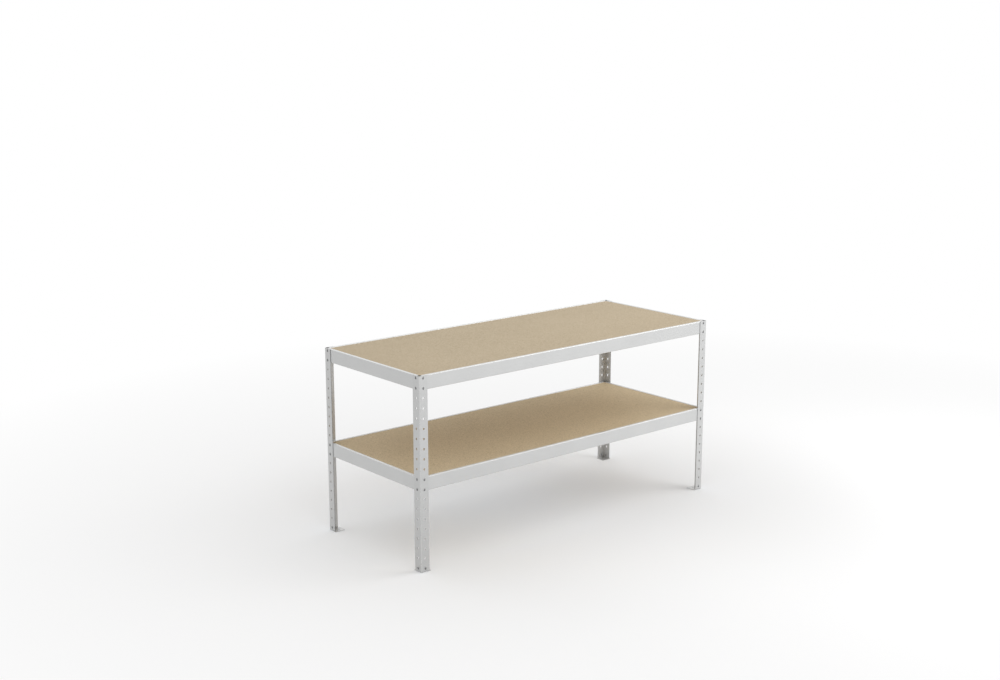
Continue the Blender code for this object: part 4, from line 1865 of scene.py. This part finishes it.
@dataclass
class Studio:
    """The floor, the light and the camera."""

    camera_spot: tuple[float, float, float] = (-4.8637, -5.5864, 2.5873)
    camera_yaw: float = math.radians(49.942)
    camera_pitch: float = math.radians(-12.5065)
    camera_roll: float = math.radians(-0.038)
    lens: float = 51.1
    sensor: float = 36.0
    view_depth: float = 200.0
    floor_half: float = 30.0
    floor_roughness: float = 0.9
    floor_colour: Colour = (0.96, 0.96, 0.96)
    floor_bounce: Colour = (0.80, 0.80, 0.80)
    white_from: float = 1.4
    white_by: float = 4.8
    white_middle: tuple[float, float, float] = (0.55, -0.45, 0.0)
    # Painted shade: an oval of the floor that the camera sees darker.
    dim_patch: FloorPatch = FloorPatch((1.2, -0.6), (1.5, 2.2), (0.86, 0.86, 0.86))
    # Painted light: ovals where the floor glows a little in the table's shadow, cooler than the
    # chipboard's warm light.
    clear_patches: tuple[FloorPatch, ...] = (
        FloorPatch((-0.30, 0.15), (1.40, 0.85), (0.075, 0.100, 0.130)),
        FloorPatch((0.35, -0.10), (1.35, 1.05), (0.008, 0.022, 0.045)),
    )
    sky: float = 0.900
    left_share: float = 0.80
    grey_from: float = 0.0
    grey_by: float = -2.5
    grey_mirror: float = 0.74
    lamp_aim: tuple[float, float, float] = (0.0, 0.0, 0.5)
    lamps: tuple[Lamp, ...] = (
        Lamp("side_lamp", (2.6, -2.3, 2.7), 3.0, 40.0),
        Lamp("front_lamp", (-3.0, -7.0, 5.0), 4.0, 25.0),
    )

    def add_camera(self) -> None:
        """Add the camera where the photograph was taken from."""
        forward = Vector((
            math.cos(self.camera_pitch) * math.cos(self.camera_yaw),
            math.cos(self.camera_pitch) * math.sin(self.camera_yaw),
            math.sin(self.camera_pitch),
        ))
        across = forward.cross(Vector((0.0, 0.0, 1.0))).normalized()
        turn = Matrix((across, across.cross(forward), -forward)).transposed().to_4x4()
        data = bpy.data.cameras.new("camera")
        data.lens = self.lens
        data.sensor_width = self.sensor
        data.clip_end = self.view_depth
        roll = Matrix.Rotation(self.camera_roll, 4, "Z")
        place = Matrix.Translation(self.camera_spot) @ turn @ roll
        bpy.context.scene.camera = add_object("camera", data, place)

    def add_floor(self) -> None:
        """Add a pale floor that keeps the shadow, and turns white to the camera far off.

        To the camera the floor has painted shade in one oval beside the table, and in two more it
        glows a little, a painted light that lifts the shadow and clears the chipboard's warm light
        from it. In reflections it turns greyer towards the left.
        """
        half = self.floor_half
        mesh = bpy.data.meshes.new("floor")
        corners = [(-half, -half, 0), (half, -half, 0), (half, half, 0), (-half, half, 0)]
        mesh.from_pydata(corners, [], [(0, 1, 2, 3)])
        sheet = MaterialSheet("floor")
        path = sheet.add("ShaderNodeLightPath", {}).outputs
        seen = path["Is Camera Ray"]
        # Painted shade: the floor is darker to the camera in one oval beside the table.
        dim = self.dim_patch
        colour = sheet.mix(dim.share(sheet), self.floor_colour, dim.colour)
        sheet.shade("Base Color", sheet.mix(seen, self.floor_bounce, colour))
        # Painted light: the floor glows in the table's shadow, lifting it and clearing its warmth.
        clear: Input = (0.0, 0.0, 0.0)
        for patch in self.clear_patches:
            clear = sheet.mix(patch.share(sheet), clear, patch.colour, "ADD")
        sheet.shade("Emission Color", clear)
        sheet.shade("Emission Strength", seen)
        sheet.shade("Roughness", self.floor_roughness)
        sheet.shade("Specular IOR Level", 0.0)
        away = sheet.away(self.white_middle)
        far = sheet.span(away, self.white_from, self.white_by, 0.0, 1.0)
        across = sheet.add("ShaderNodeSeparateXYZ", {0: sheet.place}).outputs["X"]
        mirror = sheet.span(across, self.grey_by, self.grey_from, self.grey_mirror, 1.0)
        strength = sheet.combine(seen, mirror, "MAXIMUM")
        white = sheet.add("ShaderNodeEmission", {"Color": WHITE, "Strength": strength})
        mirrored = sheet.combine(path["Is Glossy Ray"], path["Is Transmission Ray"], "MAXIMUM")
        plain = sheet.combine(far, sheet.combine(seen, mirrored, "MAXIMUM"), "MULTIPLY")
        shaders = {0: plain, 1: sheet.shader.outputs[0], 2: white.outputs[0]}
        blend = sheet.add("ShaderNodeMixShader", shaders)
        sheet.join(blend.outputs[0], sheet.tree.nodes["Material Output"].inputs["Surface"])
        mesh.materials.append(sheet.material)
        add_object("floor", mesh)

    def add_sky(self) -> None:
        """Light the scene, a little less from the left, and show plain white to the camera.

        Reflections see it white on the right and greyer on the left.
        """
        world = bpy.data.worlds.new("sky")
        world.use_nodes = True
        sheet = NodeSheet(world.node_tree)
        path = sheet.add("ShaderNodeLightPath", {}).outputs
        seen = path["Is Camera Ray"]
        mirrored = sheet.combine(path["Is Glossy Ray"], path["Is Transmission Ray"], "MAXIMUM")
        direction = sheet.add("ShaderNodeTexCoord", {}).outputs["Generated"]
        across = sheet.add("ShaderNodeSeparateXYZ", {0: direction}).outputs["X"]
        light = sheet.span(across, -1.0, 0.0, self.sky * self.left_share, self.sky)
        mirror = sheet.span(across, -1.0, 0.0, self.grey_mirror, 1.0)
        white = sheet.combine(seen, mirror, "MAXIMUM")
        either = sheet.combine(seen, mirrored, "MAXIMUM")
        background = sheet.tree.nodes["Background"]
        sheet.join(WHITE, background.inputs["Color"])
        sheet.join(sheet.span(either, 0.0, 1.0, light, white), background.inputs["Strength"])
        bpy.context.scene.world = world

    def add_lamps(self) -> None:
        """Add the broad soft lamps, each aimed at the middle of the table."""
        for lamp in self.lamps:
            data = bpy.data.lights.new(lamp.name, "AREA")
            data.shape = "DISK"
            data.size = lamp.size
            data.energy = lamp.power
            spot = Vector(lamp.spot)
            turn = (spot - Vector(self.lamp_aim)).to_track_quat("Z", "Y")
            add_object(lamp.name, data, Matrix.Translation(spot) @ turn.to_matrix().to_4x4())

    def build(self) -> None:
        """Add everything that isn't part of the table."""
        self.add_camera()
        self.add_floor()
        self.add_sky()
        self.add_lamps()
        bpy.context.scene.view_settings.view_transform = "Standard"
        LOG.info("studio: camera, floor, sky and lamps")


def main() -> None:
    """Dress the table."""
    logging.basicConfig(level=logging.INFO, format="%(name)s: %(message)s")
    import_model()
    workshop = Workshop()
    AnglePosts().build(workshop)
    EdgeBeams().build(workshop)
    CrossBars().build(workshop)
    FootPlates().build(workshop)
    Rivets().build(workshop)
    Boards().build(workshop)
    Studio().build()


if __name__ == "__main__":
    main()
